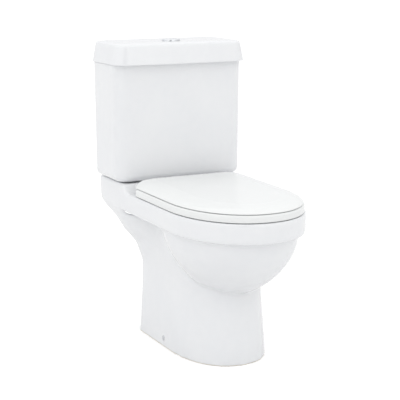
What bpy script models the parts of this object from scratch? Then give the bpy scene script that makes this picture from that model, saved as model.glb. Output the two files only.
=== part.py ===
"""Close coupled toilet: china pan, cistern and lid, seat, hinges, dual flush valve, fill valve and fixings.

Metres, +Z up. The toilet faces -Y, its middle plane is X = 0 and it stands on Z = 0. Places from back to
front are given as a distance from the wall, which is the plane that the cistern's back stands against.
"""

import math

import bmesh
import bpy
from mathutils import Matrix, Vector

for old in list(bpy.data.objects):
    bpy.data.objects.remove(old, do_unlink=True)

# ---------------------------------------------------------------- driving sizes

PROJECTION = 0.6765  # wall to the front of the rim
RIM_HEIGHT = 0.400
CISTERN_HEIGHT = 0.3145  # the tank's underside to the underside of its lid
GAP = 0.0003  # between pieces that touch
OVERCUT = 0.010  # how far a cutter runs on past what it cuts

# Pan
RIM_HALF = 0.1749
NOSE_LENGTH = 0.2325  # the rounded front, from where the straight sides end
RIM_POWER = 2.11
BAND_HEIGHT = 0.0525
DECK_THICKNESS = 0.014
DECK_REAR = 0.0015
DECK_CORNER = 0.010
PLATFORM_RISE = 0.021
PLATFORM_THICKNESS = 0.016
PLATFORM_FRONT = 0.177
CHINA = 0.012
FOOT_HALF = 0.1206
FOOT_SETBACK = 0.146  # the foot's front behind the rim's front
FOOT_REAR = 0.1495
FOOT_NOSE = 0.182
FOOT_POWER = 2.2
NECK_HEIGHT = 0.1475  # the part that flares out, below the band
NECK_INSET = 0.0038  # the neck's top inside the rim's sides
FLARE_STARTS = 0.270  # from the wall
FLARE_FULL = 0.120
BOWL_INSET = 0.0189  # the bowl's sides inside the rim's sides
BOWL_NOSE_INSET = 0.0215
BOWL_NOSE = 0.208
BOWL_TAIL = 0.225
BOWL_DEPTH = 0.172
BOWL_POWER = 2.2
RIM_WIDTH = 0.0449
OPENING_NOSE = 0.185
OPENING_TAIL = 0.168
TRAP_BORE = 0.036
TRAP_WALL = 0.010
WATER_SEAL = 0.0635  # the trap's dip below the bowl
WEIR_RISE = 0.039  # the trap's weir above the outlet
SPIGOT_RADIUS = 0.051
SPIGOT_BORE = 0.041
SPIGOT_END = 0.060
OUTLET_HEIGHT = 0.185
PASSAGE_BORE = 0.024
PASSAGE_DROP = 0.043  # the flush passage below the rim

# Cistern
TANK_GAP = 0.0025  # tank above the platform
LID_HALF = 0.194
SIDE_OVERHANG = 0.0035
FRONT_OVERHANG = 0.019
TANK_TAPER = 0.003
TANK_FRONT = 0.175
TANK_REAR = 0.0015
TANK_WALL = 0.010
TANK_FLOOR = 0.012
TANK_CORNER = 0.035
TANK_REAR_CORNER = 0.020
TANK_FOOT_ROUND = 0.018
FRONT_BOW = 0.005
WALL_HOLE = 0.004
WALL_HOLE_X = 0.120
WALL_HOLE_DROP = 0.038  # below the lid
LID_HEIGHT = 0.056
LID_TAPER = 0.009
LID_CORNER = 0.037
LID_CROWN = 0.012  # china above the lid's hollow
LID_SKIRT = 0.006  # china round the lid's hollow
LID_RIB = 0.006  # how far the lid's locating rib reaches down inside the tank
LID_CLEARANCE = 0.0015

# Push button
BUTTON_PLACE = 0.105  # the flush valve's axis, from the wall
BUTTON_RADIUS = 0.0200
BUTTON_CLEARANCE = 0.0004
BEZEL_WALL = 0.0021
BEZEL_FLANGE = 0.002
BEZEL_HEIGHT = 0.0042
BEZEL_BELOW = 0.014  # how far the barrel passes the lid's underside
CLAMP_NUT_RADIUS = 0.032
CLAMP_NUT_HEIGHT = 0.006
ROD_PLACE = 0.014
ROD_RADIUS = 0.003
ROD_REACH = 0.0113  # how far the rods reach down into the tower

# Flush valve
VALVE_SHANK = 0.030
VALVE_WALL = 0.005
VALVE_FLANGE = 0.012  # flange beyond the shank
FLANGE_HEIGHT = 0.005
SEAT_RISE = 0.010  # the valve's seat above its flange
TOWER_INSET = 0.006  # tower inside the flange
TOWER_WALL = 0.003
TOWER_DROP = 0.088  # the tower's top below the lid
WINDOW_HALF = 0.014
WINDOW_HEIGHT = 0.054
OVERFLOW_RADIUS = 0.010
OVERFLOW_WALL = 0.002
OVERFLOW_DROP = 0.010  # below the tower's top
WASHER = 0.0027
NUT_WALL = 0.008
BACKNUT_HEIGHT = 0.012
GASKET_WALL = 0.011
WELL_CLEARANCE = 0.002
WELL_DEPTH = 0.002  # below the rim

# Fill valve
FILL_X = 0.135
FILL_PLACE = 0.090
FILL_SHANK = 0.0105
FILL_BORE = 0.006
FILL_TAIL = 0.0515  # tail below the tank
FILL_FLANGE = 0.0065
FILL_RISER = 0.012
FILL_DROP = 0.090  # the riser's top below the lid
FILL_HEAD = 0.018
HEAD_HEIGHT = 0.042
FLOAT_CLEARANCE = 0.002
FLOAT_WALL = 0.003
FLOAT_OUTER = 0.032
FLOAT_HEIGHT = 0.065
FLOAT_DROP = 0.023  # the float's top below the riser's
ARM_SIDE = 0.022  # the arm beside the riser's axis
ARM_PIVOT = 0.016  # the arm's pivot behind the riser's axis
ARM_LINK = 0.018  # and its link in front of it
ARM_RISE = 0.017
ARM_THICK = 0.006
ARM_PIN = 0.0015
LINK_RADIUS = 0.0013

# Coupling bolts
COUPLING_X = 0.085
COUPLING_SHANK = 0.004
COUPLING_DROP = 0.0475  # the bolt's end below the tank
BOLT_HEAD = 0.009
BOLT_WASHER = 0.013
SOFT_WASHER = 0.005
WING_HUB = 0.007
WING_SPAN = 0.0145
WING_HALF = 0.0013

# Seat
SEAT_LIFT = 0.002  # ring above the rim
SEAT_THICKNESS = 0.0185
SEAT_INSET = 0.0035
SEAT_REAR = 0.223
SEAT_CORNER = 0.032
SEAT_WIDTH = 0.0629
SEAT_HOLE_SHIFT = 0.008
SEAT_HOLE_NOSE = 0.150
SEAT_HOLE_TAIL = 0.140
SEAT_HOLE_POWER = 2.15
COVER_GAP = 0.0015
COVER_THICKNESS = 0.0143
COVER_INSET = 0.0068
COVER_REAR = 0.211
COVER_CORNER = 0.034
COVER_RISE = 0.005  # the back of the lid's top above its front
COVER_REAR_SLOPE = 0.2  # the slope at the back, as a share of the slope at the sides
COVER_WALL = 0.004
HINGE_X = 0.0775
HINGE_PLACE = 0.226
HINGE_DROP = 0.0025  # hinge axis below the ring's top
KNUCKLE_RADIUS = 0.0065
KNUCKLE_HALF = 0.006
KNUCKLE_GAP = 0.0006
LUG_WIDTH = 0.012
PIN_RADIUS = 0.0025
PIN_CLEARANCE = 0.0003
NOTCH_HALF = 0.020
NOTCH_DEPTH = 0.020
STUD_RADIUS = 0.004
STUD_LENGTH = 0.048
HINGE_COVER = 0.018
HINGE_COVER_BORE = 0.0105
BUFFER_RADIUS = 0.008
BUFFER_SUNK = 0.0037
LID_BUFFER_RADIUS = 0.007
LID_BUFFER_SUNK = 0.004
SHANK_CLEARANCE = 0.0015  # round bolts and studs in china

# Floor fixing
FIXING_PLACE = 0.304
FIXING_HEIGHT = 0.023
CAP_RADIUS = 0.007
CAP_DEPTH = 0.003
CAP_SUNK = 0.0011
SCREW_RADIUS = 0.0025
SCREW_HEAD = 0.005
SCREW_END = 0.080
BRACKET_HALF = 0.015
BRACKET_RISE = 0.015
BRACKET_INNER = 0.082

# ---------------------------------------------------------------- sizes that follow from those

WALL = PROJECTION / 2  # the wall's Y, so that the origin is under the middle
DECK_UNDER = RIM_HEIGHT - DECK_THICKNESS
PLATFORM_TOP = RIM_HEIGHT + PLATFORM_RISE
PLATFORM_UNDER = PLATFORM_TOP - PLATFORM_THICKNESS
BAND_BOTTOM = RIM_HEIGHT - BAND_HEIGHT
NECK_BOTTOM = BAND_BOTTOM - NECK_HEIGHT
FOOT_FRONT = PROJECTION - FOOT_SETBACK
BOWL_CENTRE = PROJECTION - BOWL_NOSE_INSET - BOWL_NOSE
BOWL_HALF = RIM_HALF - BOWL_INSET
BOWL_FLOOR = BAND_BOTTOM - BOWL_DEPTH
WELL_FLOOR = RIM_HEIGHT - WELL_DEPTH
TANK_BOTTOM = PLATFORM_TOP + TANK_GAP
TANK_INSIDE = TANK_BOTTOM + TANK_FLOOR
LID_BOTTOM = TANK_BOTTOM + CISTERN_HEIGHT
LID_TOP = LID_BOTTOM + LID_HEIGHT
LID_UNDER = LID_TOP - LID_CROWN
TANK_TOP = LID_BOTTOM - GAP
TANK_HALF_TOP = LID_HALF - SIDE_OVERHANG
TANK_HALF_FOOT = TANK_HALF_TOP - TANK_TAPER
LID_FRONT = TANK_FRONT + FRONT_OVERHANG
BEZEL_BORE = BUTTON_RADIUS + BUTTON_CLEARANCE
BEZEL_BARREL = BEZEL_BORE + BEZEL_WALL
BEZEL_RADIUS = BEZEL_BARREL + BEZEL_FLANGE
VALVE_BORE = VALVE_SHANK - VALVE_WALL
FLANGE_RADIUS = VALVE_SHANK + VALVE_FLANGE
TOWER_RADIUS = FLANGE_RADIUS - TOWER_INSET
TOWER_TOP = LID_BOTTOM - TOWER_DROP
BACKNUT_RADIUS = VALVE_SHANK + NUT_WALL
GASKET_BORE = BACKNUT_RADIUS + 0.001
GASKET_RADIUS = GASKET_BORE + GASKET_WALL
WELL_RADIUS = GASKET_RADIUS + WELL_CLEARANCE
FILL_TOP = LID_BOTTOM - FILL_DROP
FLOAT_TOP = FILL_TOP - FLOAT_DROP
FLOAT_BOTTOM = FLOAT_TOP - FLOAT_HEIGHT
FLOAT_INNER = FILL_RISER + FLOAT_CLEARANCE
SEAT_BOTTOM = RIM_HEIGHT + SEAT_LIFT
SEAT_TOP = SEAT_BOTTOM + SEAT_THICKNESS
COVER_BOTTOM = SEAT_TOP + COVER_GAP
COVER_TOP = COVER_BOTTOM + COVER_THICKNESS
HINGE_HEIGHT = SEAT_TOP - HINGE_DROP
HINGE_CEILING = HINGE_HEIGHT + KNUCKLE_RADIUS + 0.0017  # the lid's underside over the knuckles
NOTCH_FRONT = HINGE_PLACE + NOTCH_DEPTH
FINE = 32  # sides of the largest round pieces
ROUND = 20  # sides of a middling round piece
SMALL = 12  # sides of bolts, pins and their washers
WELD = 4e-6  # points closer than this are one
SIDES = (("left", -1), ("right", 1))

# ---------------------------------------------------------------- materials


def material(name, colour, roughness, metallic=0.0):
    made = bpy.data.materials.new(name)
    made.use_nodes = True
    made.diffuse_color = (*colour, 1)
    shader = made.node_tree.nodes["Principled BSDF"]
    shader.inputs["Base Color"].default_value = (*colour, 1)
    shader.inputs["Roughness"].default_value = roughness
    shader.inputs["Metallic"].default_value = metallic
    return made


CERAMIC = material("white_glazed_china", (0.86, 0.87, 0.88), 0.08)
SEAT_PLASTIC = material("seat_plastic", (0.88, 0.88, 0.88), 0.15)
VALVE_PLASTIC = material("valve_plastic", (0.80, 0.80, 0.78), 0.45)
FLOAT_PLASTIC = material("float_plastic", (0.15, 0.32, 0.55), 0.4)
BRACKET_PLASTIC = material("bracket_plastic", (0.7, 0.7, 0.68), 0.5)
CHROME = material("chrome", (0.75, 0.76, 0.78), 0.08, 1.0)
STEEL = material("stainless_steel", (0.6, 0.6, 0.6), 0.3, 1.0)
RUBBER = material("black_rubber", (0.03, 0.03, 0.03), 0.7)
BUFFER_RUBBER = material("clear_buffer", (0.75, 0.75, 0.73), 0.5)

# ---------------------------------------------------------------- making solids


def from_bmesh(shape):
    """An object from a bmesh, with its faces pointing out."""
    bmesh.ops.recalc_face_normals(shape, faces=shape.faces)
    mesh = bpy.data.meshes.new("shape")
    shape.to_mesh(mesh)
    shape.free()
    made = bpy.data.objects.new("shape", mesh)
    bpy.context.scene.collection.objects.link(made)
    return made


def moved(piece, x=0.0, place=WALL, height=0.0):
    """Moves a shape built round the origin to X, a distance from the wall and a height."""
    piece.data.transform(Matrix.Translation((x, WALL - place, height)))
    return piece


def skin(shape, rings):
    """Faces between closed rings of points, and over the first and the last."""
    for lower, upper in zip(rings, rings[1:]):
        for i in range(len(lower)):
            j = (i + 1) % len(lower)
            shape.faces.new((lower[i], lower[j], upper[j], upper[i]))
    shape.faces.new(rings[0])
    shape.faces.new(rings[-1])
    return from_bmesh(shape)


def loft(levels):
    """A closed solid through plan outlines, from (height, [(x, distance from wall), ...]) levels."""
    shape = bmesh.new()
    rings = [[shape.verts.new((x, WALL - d, z)) for x, d in outline] for z, outline in levels]
    return skin(shape, rings)


def turned(profile, steps=ROUND, hollow=False):
    """A solid turned about Z from (radius, height) points; a hollow one's profile is a closed loop."""
    shape = bmesh.new()
    points = [shape.verts.new((r, 0, z)) for r, z in profile]
    pairs = list(zip(points, points[1:])) + ([(points[-1], points[0])] if hollow else [])
    edges = [shape.edges.new(pair) for pair in pairs]
    turn = {"axis": (0, 0, 1), "cent": (0, 0, 0), "angle": 2 * math.pi}
    bmesh.ops.spin(shape, geom=points + edges, steps=steps, **turn)
    bmesh.ops.remove_doubles(shape, verts=shape.verts, dist=1e-6)
    return from_bmesh(shape)


def rod(radius, low, high, steps=ROUND):
    return turned([(0, low), (radius, low), (radius, high), (0, high)], steps)


def tube(inner, outer, low, high, steps=ROUND):
    return turned([(inner, low), (outer, low), (outer, high), (inner, high)], steps, hollow=True)


def post(radius, low, high, x, place, steps=ROUND):
    """An upright rod at X and a distance from the wall."""
    return moved(rod(radius, low, high, steps), x, place)


def block(x, place, height):
    """A box from its (low, high) X, distances from the wall and heights."""
    shape = bmesh.new()
    bmesh.ops.create_cube(shape, size=1)
    size = Vector((x[1] - x[0], place[1] - place[0], height[1] - height[0]))
    middle = Vector((sum(x) / 2, WALL - sum(place) / 2, sum(height) / 2))
    bmesh.ops.transform(shape, matrix=Matrix.LocRotScale(middle, None, size), verts=shape.verts)
    return from_bmesh(shape)


def about(middle, half):
    """The (low, high) pair that lies half either way of the middle."""
    return middle - half, middle + half


def lying(piece):
    """Turns a shape built along Z so that it lies along X."""
    piece.data.transform(Matrix.Rotation(math.pi / 2, 4, "Y"))
    return piece


def pipe(path, radii, steps=14):
    """A round solid along (distance from wall, height) points in the middle plane, with a radius at each."""
    shape = bmesh.new()
    rings = []
    for i, ((d, z), radius) in enumerate(zip(path, radii)):
        before, after = path[max(i - 1, 0)], path[min(i + 1, len(path) - 1)]
        along = Vector((0, before[0] - after[0], after[1] - before[1])).normalized()
        side = Vector((1, 0, 0))
        over = along.cross(side)
        centre = Vector((0, WALL - d, z))
        turns = [2 * math.pi * k / steps for k in range(steps)]
        spokes = [math.cos(turn) * side + math.sin(turn) * over for turn in turns]
        rings.append([shape.verts.new(centre + radius * spoke) for spoke in spokes])
    return skin(shape, rings)


def combine(piece, tools, operation):
    """Joins or cuts a piece with other solids, one by one, and removes them."""
    for tool in tools:
        modifier = piece.modifiers.new(operation, "BOOLEAN")
        modifier.operation = operation
        modifier.solver = "EXACT"
        modifier.object = tool
        evaluated = piece.evaluated_get(bpy.context.evaluated_depsgraph_get())
        result = bpy.data.meshes.new_from_object(evaluated)
        shape = bmesh.new()
        shape.from_mesh(result)
        bmesh.ops.remove_doubles(shape, verts=shape.verts, dist=WELD)
        bmesh.ops.dissolve_degenerate(shape, edges=shape.edges, dist=WELD)
        shape.to_mesh(result)
        shape.free()
        piece.modifiers.clear()
        piece.data = result
        bpy.data.objects.remove(tool)
    return piece


def join(piece, *tools):
    return combine(piece, tools, "UNION")


def cut(piece, *tools):
    return combine(piece, tools, "DIFFERENCE")


def nut(bore, outer, low, high, sides, steps):
    """A nut with flat sides and a round bore."""
    return cut(rod(outer, low, high, sides), rod(bore, low - OVERCUT, high + OVERCUT, steps))


def node(name, piece, finish, x=0.0, place=WALL, height=0.0):
    """Names a piece, gives it its material and puts its origin at its own axis or seat."""
    origin = Vector((x, WALL - place, height))
    piece.data.transform(Matrix.Translation(-origin))
    piece.location = origin
    piece.name = name
    piece.data.name = name
    piece.data.materials.clear()
    piece.data.materials.append(finish)
    for face in piece.data.polygons:
        face.material_index = 0
    piece.data.shade_smooth()
    piece.data.set_sharp_from_angle(angle=math.radians(35))


def upright(name, piece, finish, x, place, height):
    """Names a piece that was built round the Z axis, and stands it at its place."""
    node(name, moved(piece, x, place), finish, x, place, height)


# ---------------------------------------------------------------- plan outlines


def corner(half, rear, radius, steps):
    """The left rear corner of a plan, from the rear edge round to the side."""
    points = []
    for i in range(steps + 1):
        turn = math.pi / 2 * i / steps
        x = half - radius + radius * math.sin(turn)
        points.append((-x, rear + radius * (1 - math.cos(turn))))
    return points


def mirrored(points):
    return [(-x, d) for x, d in reversed(points)]


def nose_arc(half, straight, front, power, steps):
    """The front curve from the left side round to the right side."""
    points = []
    for i in range(steps + 1):
        turn = math.pi * i / steps - math.pi / 2
        x = half * math.copysign(abs(math.sin(turn)) ** (2 / power), turn)
        points.append((x, straight + (front - straight) * abs(math.cos(turn)) ** (2 / power)))
    return points


def horseshoe(inset, rear, radius, steps=20):
    """The plan of the rim and seat: straight sides, a round nose and rounded rear corners."""
    half, front = RIM_HALF - inset, PROJECTION - inset
    left = corner(half, rear, radius, 4)
    return left + nose_arc(half, PROJECTION - NOSE_LENGTH, front, RIM_POWER, steps) + mirrored(left)


def oval(half, centre, nose, tail, power, steps=32):
    points = []
    for i in range(steps):
        turn = 2 * math.pi * i / steps
        across, along = math.sin(turn), math.cos(turn)
        reach = nose if along > 0 else tail
        x = half * math.copysign(abs(across) ** (2 / power), -across)
        points.append((x, centre + reach * math.copysign(abs(along) ** (2 / power), along)))
    return points


def cistern_plan(half, rear, front, front_corner, rear_corner):
    """A rectangle with round corners and a front that bows out towards its middle."""
    points = corner(half, rear, rear_corner, 3)
    for i in range(7):
        turn = math.pi / 2 * i / 6
        x = -(half - front_corner + front_corner * math.cos(turn))
        points.append((x, front - front_corner + front_corner * math.sin(turn)))
    points += [(-share * (half - front_corner), front) for share in (0.6, 0.2)]
    points += mirrored(points)
    middle = (rear + front) / 2
    return [(x, d - FRONT_BOW * (x / half) ** 2 if d > middle else d) for x, d in points]


# The foot and neck, level by level: height, half width, share of the neck's flare, rear edge and front edge
FOOT_LEVELS = [
    (share * NECK_BOTTOM, FOOT_HALF - taper, 0.0, FOOT_REAR, FOOT_FRONT - lean)
    for share, taper, lean in ((0, 0, 0), (0.3, 0.0027, 0.0035), (0.65, 0.0058, 0.0085))
] + [
    (BAND_BOTTOM - drop, FOOT_HALF - taper, flare, FOOT_REAR - reach, FOOT_FRONT - lean)
    for drop, taper, flare, reach, lean in (
        (NECK_HEIGHT, 0.0086, 0.02, 0.000, 0.0145),
        (0.1225, 0.0074, 0.14, 0.004, 0.0185),
        (0.0945, 0.0056, 0.22, 0.017, 0.0225),
        (0.0765, 0.0041, 0.41, 0.031, 0.0255),
        (0.0585, 0.0026, 0.61, 0.047, 0.0300),
        (0.0315, 0.0016, 0.75, 0.079, 0.0400),
        (0.0055, 0.0006, 1.00, 0.119, 0.0500),
    )
]


def foot_plan(half, flare, rear, front, wall=0.0):
    """The foot's plan: a round front, and sides that flare out towards the back."""
    straight = front - FOOT_NOSE
    widest = flare * (RIM_HALF - NECK_INSET - FOOT_HALF)
    left = []
    for i in range(8):
        d = rear + (straight - rear) * i / 8
        share = min(max((FLARE_STARTS - d) / (FLARE_STARTS - FLARE_FULL), 0), 1)
        left.append((-(half - wall + widest * share * share * (3 - 2 * share)), d))
    return left + nose_arc(half - wall, straight, front - wall, FOOT_POWER, 14) + mirrored(left)


def bowl_levels(wall, top):
    """The bowl's levels from its bottom to the given height, with the given wall taken off."""
    levels = []
    for share in (0.985, 0.95, 0.89, 0.80, 0.69, 0.56, 0.40, 0.20, 0.0):
        side = (1 - share**2) ** 0.5
        half, nose = (BOWL_HALF - wall) * side, (BOWL_NOSE - wall) * side
        tail = (BOWL_TAIL - wall) * (1 - share**2.2)
        plan = oval(half, BOWL_CENTRE, nose, tail, BOWL_POWER - 0.7 * share**1.5)
        levels.append((BAND_BOTTOM - share * (BOWL_DEPTH - wall), plan))
    levels.append((top, levels[-1][1]))
    return levels


def smooth_path(points):
    """The given points, and one more between each two of them, on a smooth curve."""
    padded = [points[0], *points, points[-1]]
    path = []
    for a, b, c, d in zip(padded, padded[1:], padded[2:], padded[3:]):
        path.append(b)
        path.append(tuple((9 * (q + r) - p - s) / 16 for p, q, r, s in zip(a, b, c, d)))
    return path + [points[-1]]


# ---------------------------------------------------------------- pan


def platform_step():
    """What is cut away in front of the cistern platform, with a round fillet up to it."""
    over, front = PLATFORM_TOP + 2 * OVERCUT, PROJECTION + 5 * OVERCUT
    fillet = PLATFORM_RISE + 0.001
    profile = [(PLATFORM_FRONT, over)]
    for i in range(6):
        turn = math.pi / 2 * i / 5
        d = PLATFORM_FRONT + fillet * (1 - math.cos(turn))
        profile.append((d, RIM_HEIGHT + fillet * (1 - math.sin(turn))))
    profile += [(front, RIM_HEIGHT), (front, over)]
    shape = bmesh.new()
    reach = RIM_HALF + 7 * OVERCUT
    ends = [[shape.verts.new((x, WALL - d, z)) for d, z in profile] for x in (-reach, reach)]
    return skin(shape, ends)


def make_pan():
    # The band's lower edge is rounded, and most of all under its back
    edge = ((0, 0.0015, 0.022), (0.002, 0, 0.015), (0.008, 0, 0.007), (0.018, 0, 0.001), (0.024, 0, 0))
    band = [(BAND_BOTTOM + z, horseshoe(inset, DECK_REAR + short, DECK_CORNER)) for z, inset, short in edge]
    for below, inset in ((0.002, 0), (0, 0.002)):
        plan = horseshoe(inset, DECK_REAR + inset, DECK_CORNER - inset)
        band.append((PLATFORM_TOP - below, plan))
    pan = cut(loft(band), platform_step())
    join(pan, loft([(level[0], foot_plan(*level[1:])) for level in FOOT_LEVELS]))
    # The top of the foot reaches up into the band
    z, half, *rest = FOOT_LEVELS[-1]
    join(pan, loft([(z - 0.003, foot_plan(half - GAP, *rest)), (z + CHINA, foot_plan(half, *rest))]))

    # The foot and the deck are hollow, and open at the back and below
    past = -3 * OVERCUT
    hollow = [(-2 * OVERCUT, foot_plan(FOOT_HALF, 0, past, FOOT_FRONT, CHINA))]
    hollow += [(z, foot_plan(half, flare, past, front, CHINA)) for z, half, flare, rear, front in FOOT_LEVELS]
    side = RIM_HALF - CHINA
    deck = [(-side, past), (-side, HINGE_PLACE + 0.018), (-side + CHINA, HINGE_PLACE + 0.030)]
    under = side - 0.003
    platform = [(-under, past), (-under, PLATFORM_FRONT - 0.009)]
    cut(pan, loft(hollow))
    for outline, low, high in (
        (deck, FOOT_LEVELS[-1][0] - 0.004, DECK_UNDER),
        (platform, DECK_UNDER - 0.006, PLATFORM_UNDER),
    ):
        plan = outline + mirrored(outline)
        cut(pan, loft([(low, plan), (high, plan)]))

    # Inside: the bowl's shell, the trap, the flush passage under the deck and the well for the gasket
    dip, weir = BOWL_FLOOR - WATER_SEAL, OUTLET_HEIGHT + WEIR_RISE
    trap = smooth_path(
        [
            (BOWL_CENTRE + 0.008, BOWL_FLOOR + 0.0395),
            (BOWL_CENTRE - 0.011, BOWL_FLOOR - 0.0155),
            (BOWL_CENTRE - 0.052, dip + 0.012),
            (BOWL_CENTRE - 0.102, dip),
            (BOWL_CENTRE - 0.152, dip + 0.028),
            (BOWL_CENTRE - 0.187, (dip + weir) / 2 + 0.024),
            (SPIGOT_END + 0.162, weir),
            (SPIGOT_END + 0.124, weir - 0.010),
            (SPIGOT_END + 0.090, OUTLET_HEIGHT + 0.004),
        ]
    )
    trap += [(SPIGOT_END + 0.060, OUTLET_HEIGHT), (SPIGOT_END, OUTLET_HEIGHT)]
    outer = [TRAP_BORE + TRAP_WALL] * (len(trap) - 3) + [SPIGOT_RADIUS - 0.002] + [SPIGOT_RADIUS] * 2
    passage = smooth_path(
        [
            (BUTTON_PLACE, WELL_FLOOR - 0.006),
            (BUTTON_PLACE + 0.013, RIM_HEIGHT - 0.032),
            (BUTTON_PLACE + 0.055, RIM_HEIGHT - PASSAGE_DROP),
            (BOWL_CENTRE - BOWL_TAIL + 0.040, RIM_HEIGHT - PASSAGE_DROP),
        ]
    )
    join(pan, loft(bowl_levels(0, DECK_UNDER + 0.004)))
    join(pan, pipe(trap, outer))
    join(pan, pipe(passage, [PASSAGE_BORE + 0.010] * len(passage)))
    join(pan, post(WELL_RADIUS + 0.010, DECK_UNDER - 0.002, PLATFORM_TOP - 0.004, 0, BUTTON_PLACE, FINE))

    open_trap = trap[:-1] + [(SPIGOT_END - 2 * OVERCUT, OUTLET_HEIGHT)]
    opening = oval(RIM_HALF - RIM_WIDTH, BOWL_CENTRE, OPENING_NOSE, OPENING_TAIL, BOWL_POWER)
    over = PLATFORM_TOP + 2 * OVERCUT
    cut(pan, loft(bowl_levels(CHINA, DECK_UNDER)))
    cut(pan, loft([(DECK_UNDER - 0.008, opening), (RIM_HEIGHT + 2 * OVERCUT, opening)]))
    cut(pan, pipe(open_trap, [TRAP_BORE] * (len(trap) - 2) + [SPIGOT_BORE] * 2))
    cut(pan, pipe(passage, [PASSAGE_BORE] * len(passage)))
    cut(pan, post(WELL_RADIUS, WELL_FLOOR, over, 0, BUTTON_PLACE, FINE))
    cut(pan, post(PASSAGE_BORE + 0.006, DECK_UNDER, WELL_FLOOR + OVERCUT, 0, BUTTON_PLACE))

    low = DECK_UNDER - OVERCUT
    cut(pan, post(FILL_SHANK + 0.0135, low, over, FILL_X, FILL_PLACE))
    for _, side in SIDES:
        shank, stud = COUPLING_SHANK + SHANK_CLEARANCE, STUD_RADIUS + SHANK_CLEARANCE
        cut(pan, post(shank, low, over, side * COUPLING_X, BUTTON_PLACE, SMALL))
        cut(pan, post(stud, low, RIM_HEIGHT + 2 * OVERCUT, side * HINGE_X, HINGE_PLACE, SMALL))
        for radius, depth in ((SCREW_RADIUS + 0.0008, 3 * OVERCUT), (CAP_RADIUS + 0.0005, 0.0085)):
            bore = lying(rod(radius, -depth, depth, SMALL))
            cut(pan, moved(bore, side * FOOT_HALF, FIXING_PLACE, FIXING_HEIGHT))
    node("pan", pan, CERAMIC)


# ---------------------------------------------------------------- cistern


def tank_plan(half, inset=0.0):
    corners = max(TANK_CORNER - inset, 0.006), max(TANK_REAR_CORNER - inset, 0.003)
    return cistern_plan(half - inset, TANK_REAR + inset, TANK_FRONT - inset, *corners)


def make_tank():
    levels = []
    for i in range(5):
        turn = math.pi / 2 * i / 4
        inset = TANK_FOOT_ROUND * (1 - math.sin(turn))
        rise = TANK_FOOT_ROUND * (1 - math.cos(turn))
        levels.append((TANK_BOTTOM + rise, tank_plan(TANK_HALF_FOOT, inset)))
    tank = loft(levels + [(TANK_TOP, tank_plan(TANK_HALF_TOP))])
    fillet = ((0, 0.010), (0.003, 0.003), (0.010, 0))
    inside = [(TANK_INSIDE + rise, tank_plan(TANK_HALF_FOOT, TANK_WALL + inset)) for rise, inset in fillet]
    cut(tank, loft(inside + [(TANK_TOP + OVERCUT, tank_plan(TANK_HALF_TOP, TANK_WALL))]))

    low, high = TANK_BOTTOM - OVERCUT, TANK_INSIDE + OVERCUT
    cut(tank, post(VALVE_SHANK + 0.001, low, high, 0, BUTTON_PLACE))
    cut(tank, post(FILL_SHANK + 0.001, low, high, FILL_X, FILL_PLACE))
    for _, side in SIDES:
        cut(tank, post(COUPLING_SHANK + 0.001, low, high, side * COUPLING_X, BUTTON_PLACE, SMALL))
        hole = rod(WALL_HOLE, -OVERCUT, TANK_WALL + OVERCUT / 2, SMALL)
        hole.data.transform(Matrix.Rotation(math.pi / 2, 4, "X"))
        cut(tank, moved(hole, side * WALL_HOLE_X, TANK_REAR, LID_BOTTOM - WALL_HOLE_DROP))
    node("cistern_tank", tank, CERAMIC)


def make_cistern_lid():
    outside = (
        (0, 0.0012),
        (0.0015, 0),
        (LID_HEIGHT - 0.007, LID_TAPER - 0.001),
        (LID_HEIGHT - 0.0025, LID_TAPER + 0.001),
        (LID_HEIGHT, LID_TAPER + 0.005),
    )
    levels = []
    for rise, inset in outside:
        edges = LID_HALF - inset, 0.3 * inset, LID_FRONT - inset
        levels.append((LID_BOTTOM + rise, cistern_plan(*edges, LID_CORNER - inset / 2, TANK_REAR_CORNER)))
    lid = loft(levels)
    rib_inset = TANK_WALL + LID_CLEARANCE
    rib = tank_plan(TANK_HALF_TOP, rib_inset)
    join(lid, loft([(LID_BOTTOM - LID_RIB, rib), (LID_BOTTOM + 0.004, rib)]))
    hollow = tank_plan(TANK_HALF_TOP, rib_inset + LID_SKIRT)
    ceiling = tank_plan(TANK_HALF_TOP, rib_inset + LID_SKIRT + 0.003)
    low = LID_BOTTOM - LID_RIB - OVERCUT
    cut(lid, loft([(low, hollow), (LID_BOTTOM + 0.02, hollow), (LID_UNDER, ceiling)]))
    cut(lid, post(BEZEL_BARREL + 0.001, LID_UNDER - OVERCUT, LID_TOP + OVERCUT, 0, BUTTON_PLACE, FINE))
    node("cistern_lid", lid, CERAMIC, place=BUTTON_PLACE, height=LID_BOTTOM)


# ---------------------------------------------------------------- push button in the lid


def half_disc(side, radius, low, high):
    """One half of the round button, on the given side of the split."""
    far = radius + OVERCUT
    near = side * BUTTON_CLEARANCE
    across = sorted((near, near - side * 2 * far))
    return cut(rod(radius, low, high, FINE), block(across, about(WALL, far), (low - OVERCUT, high + OVERCUT)))


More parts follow.
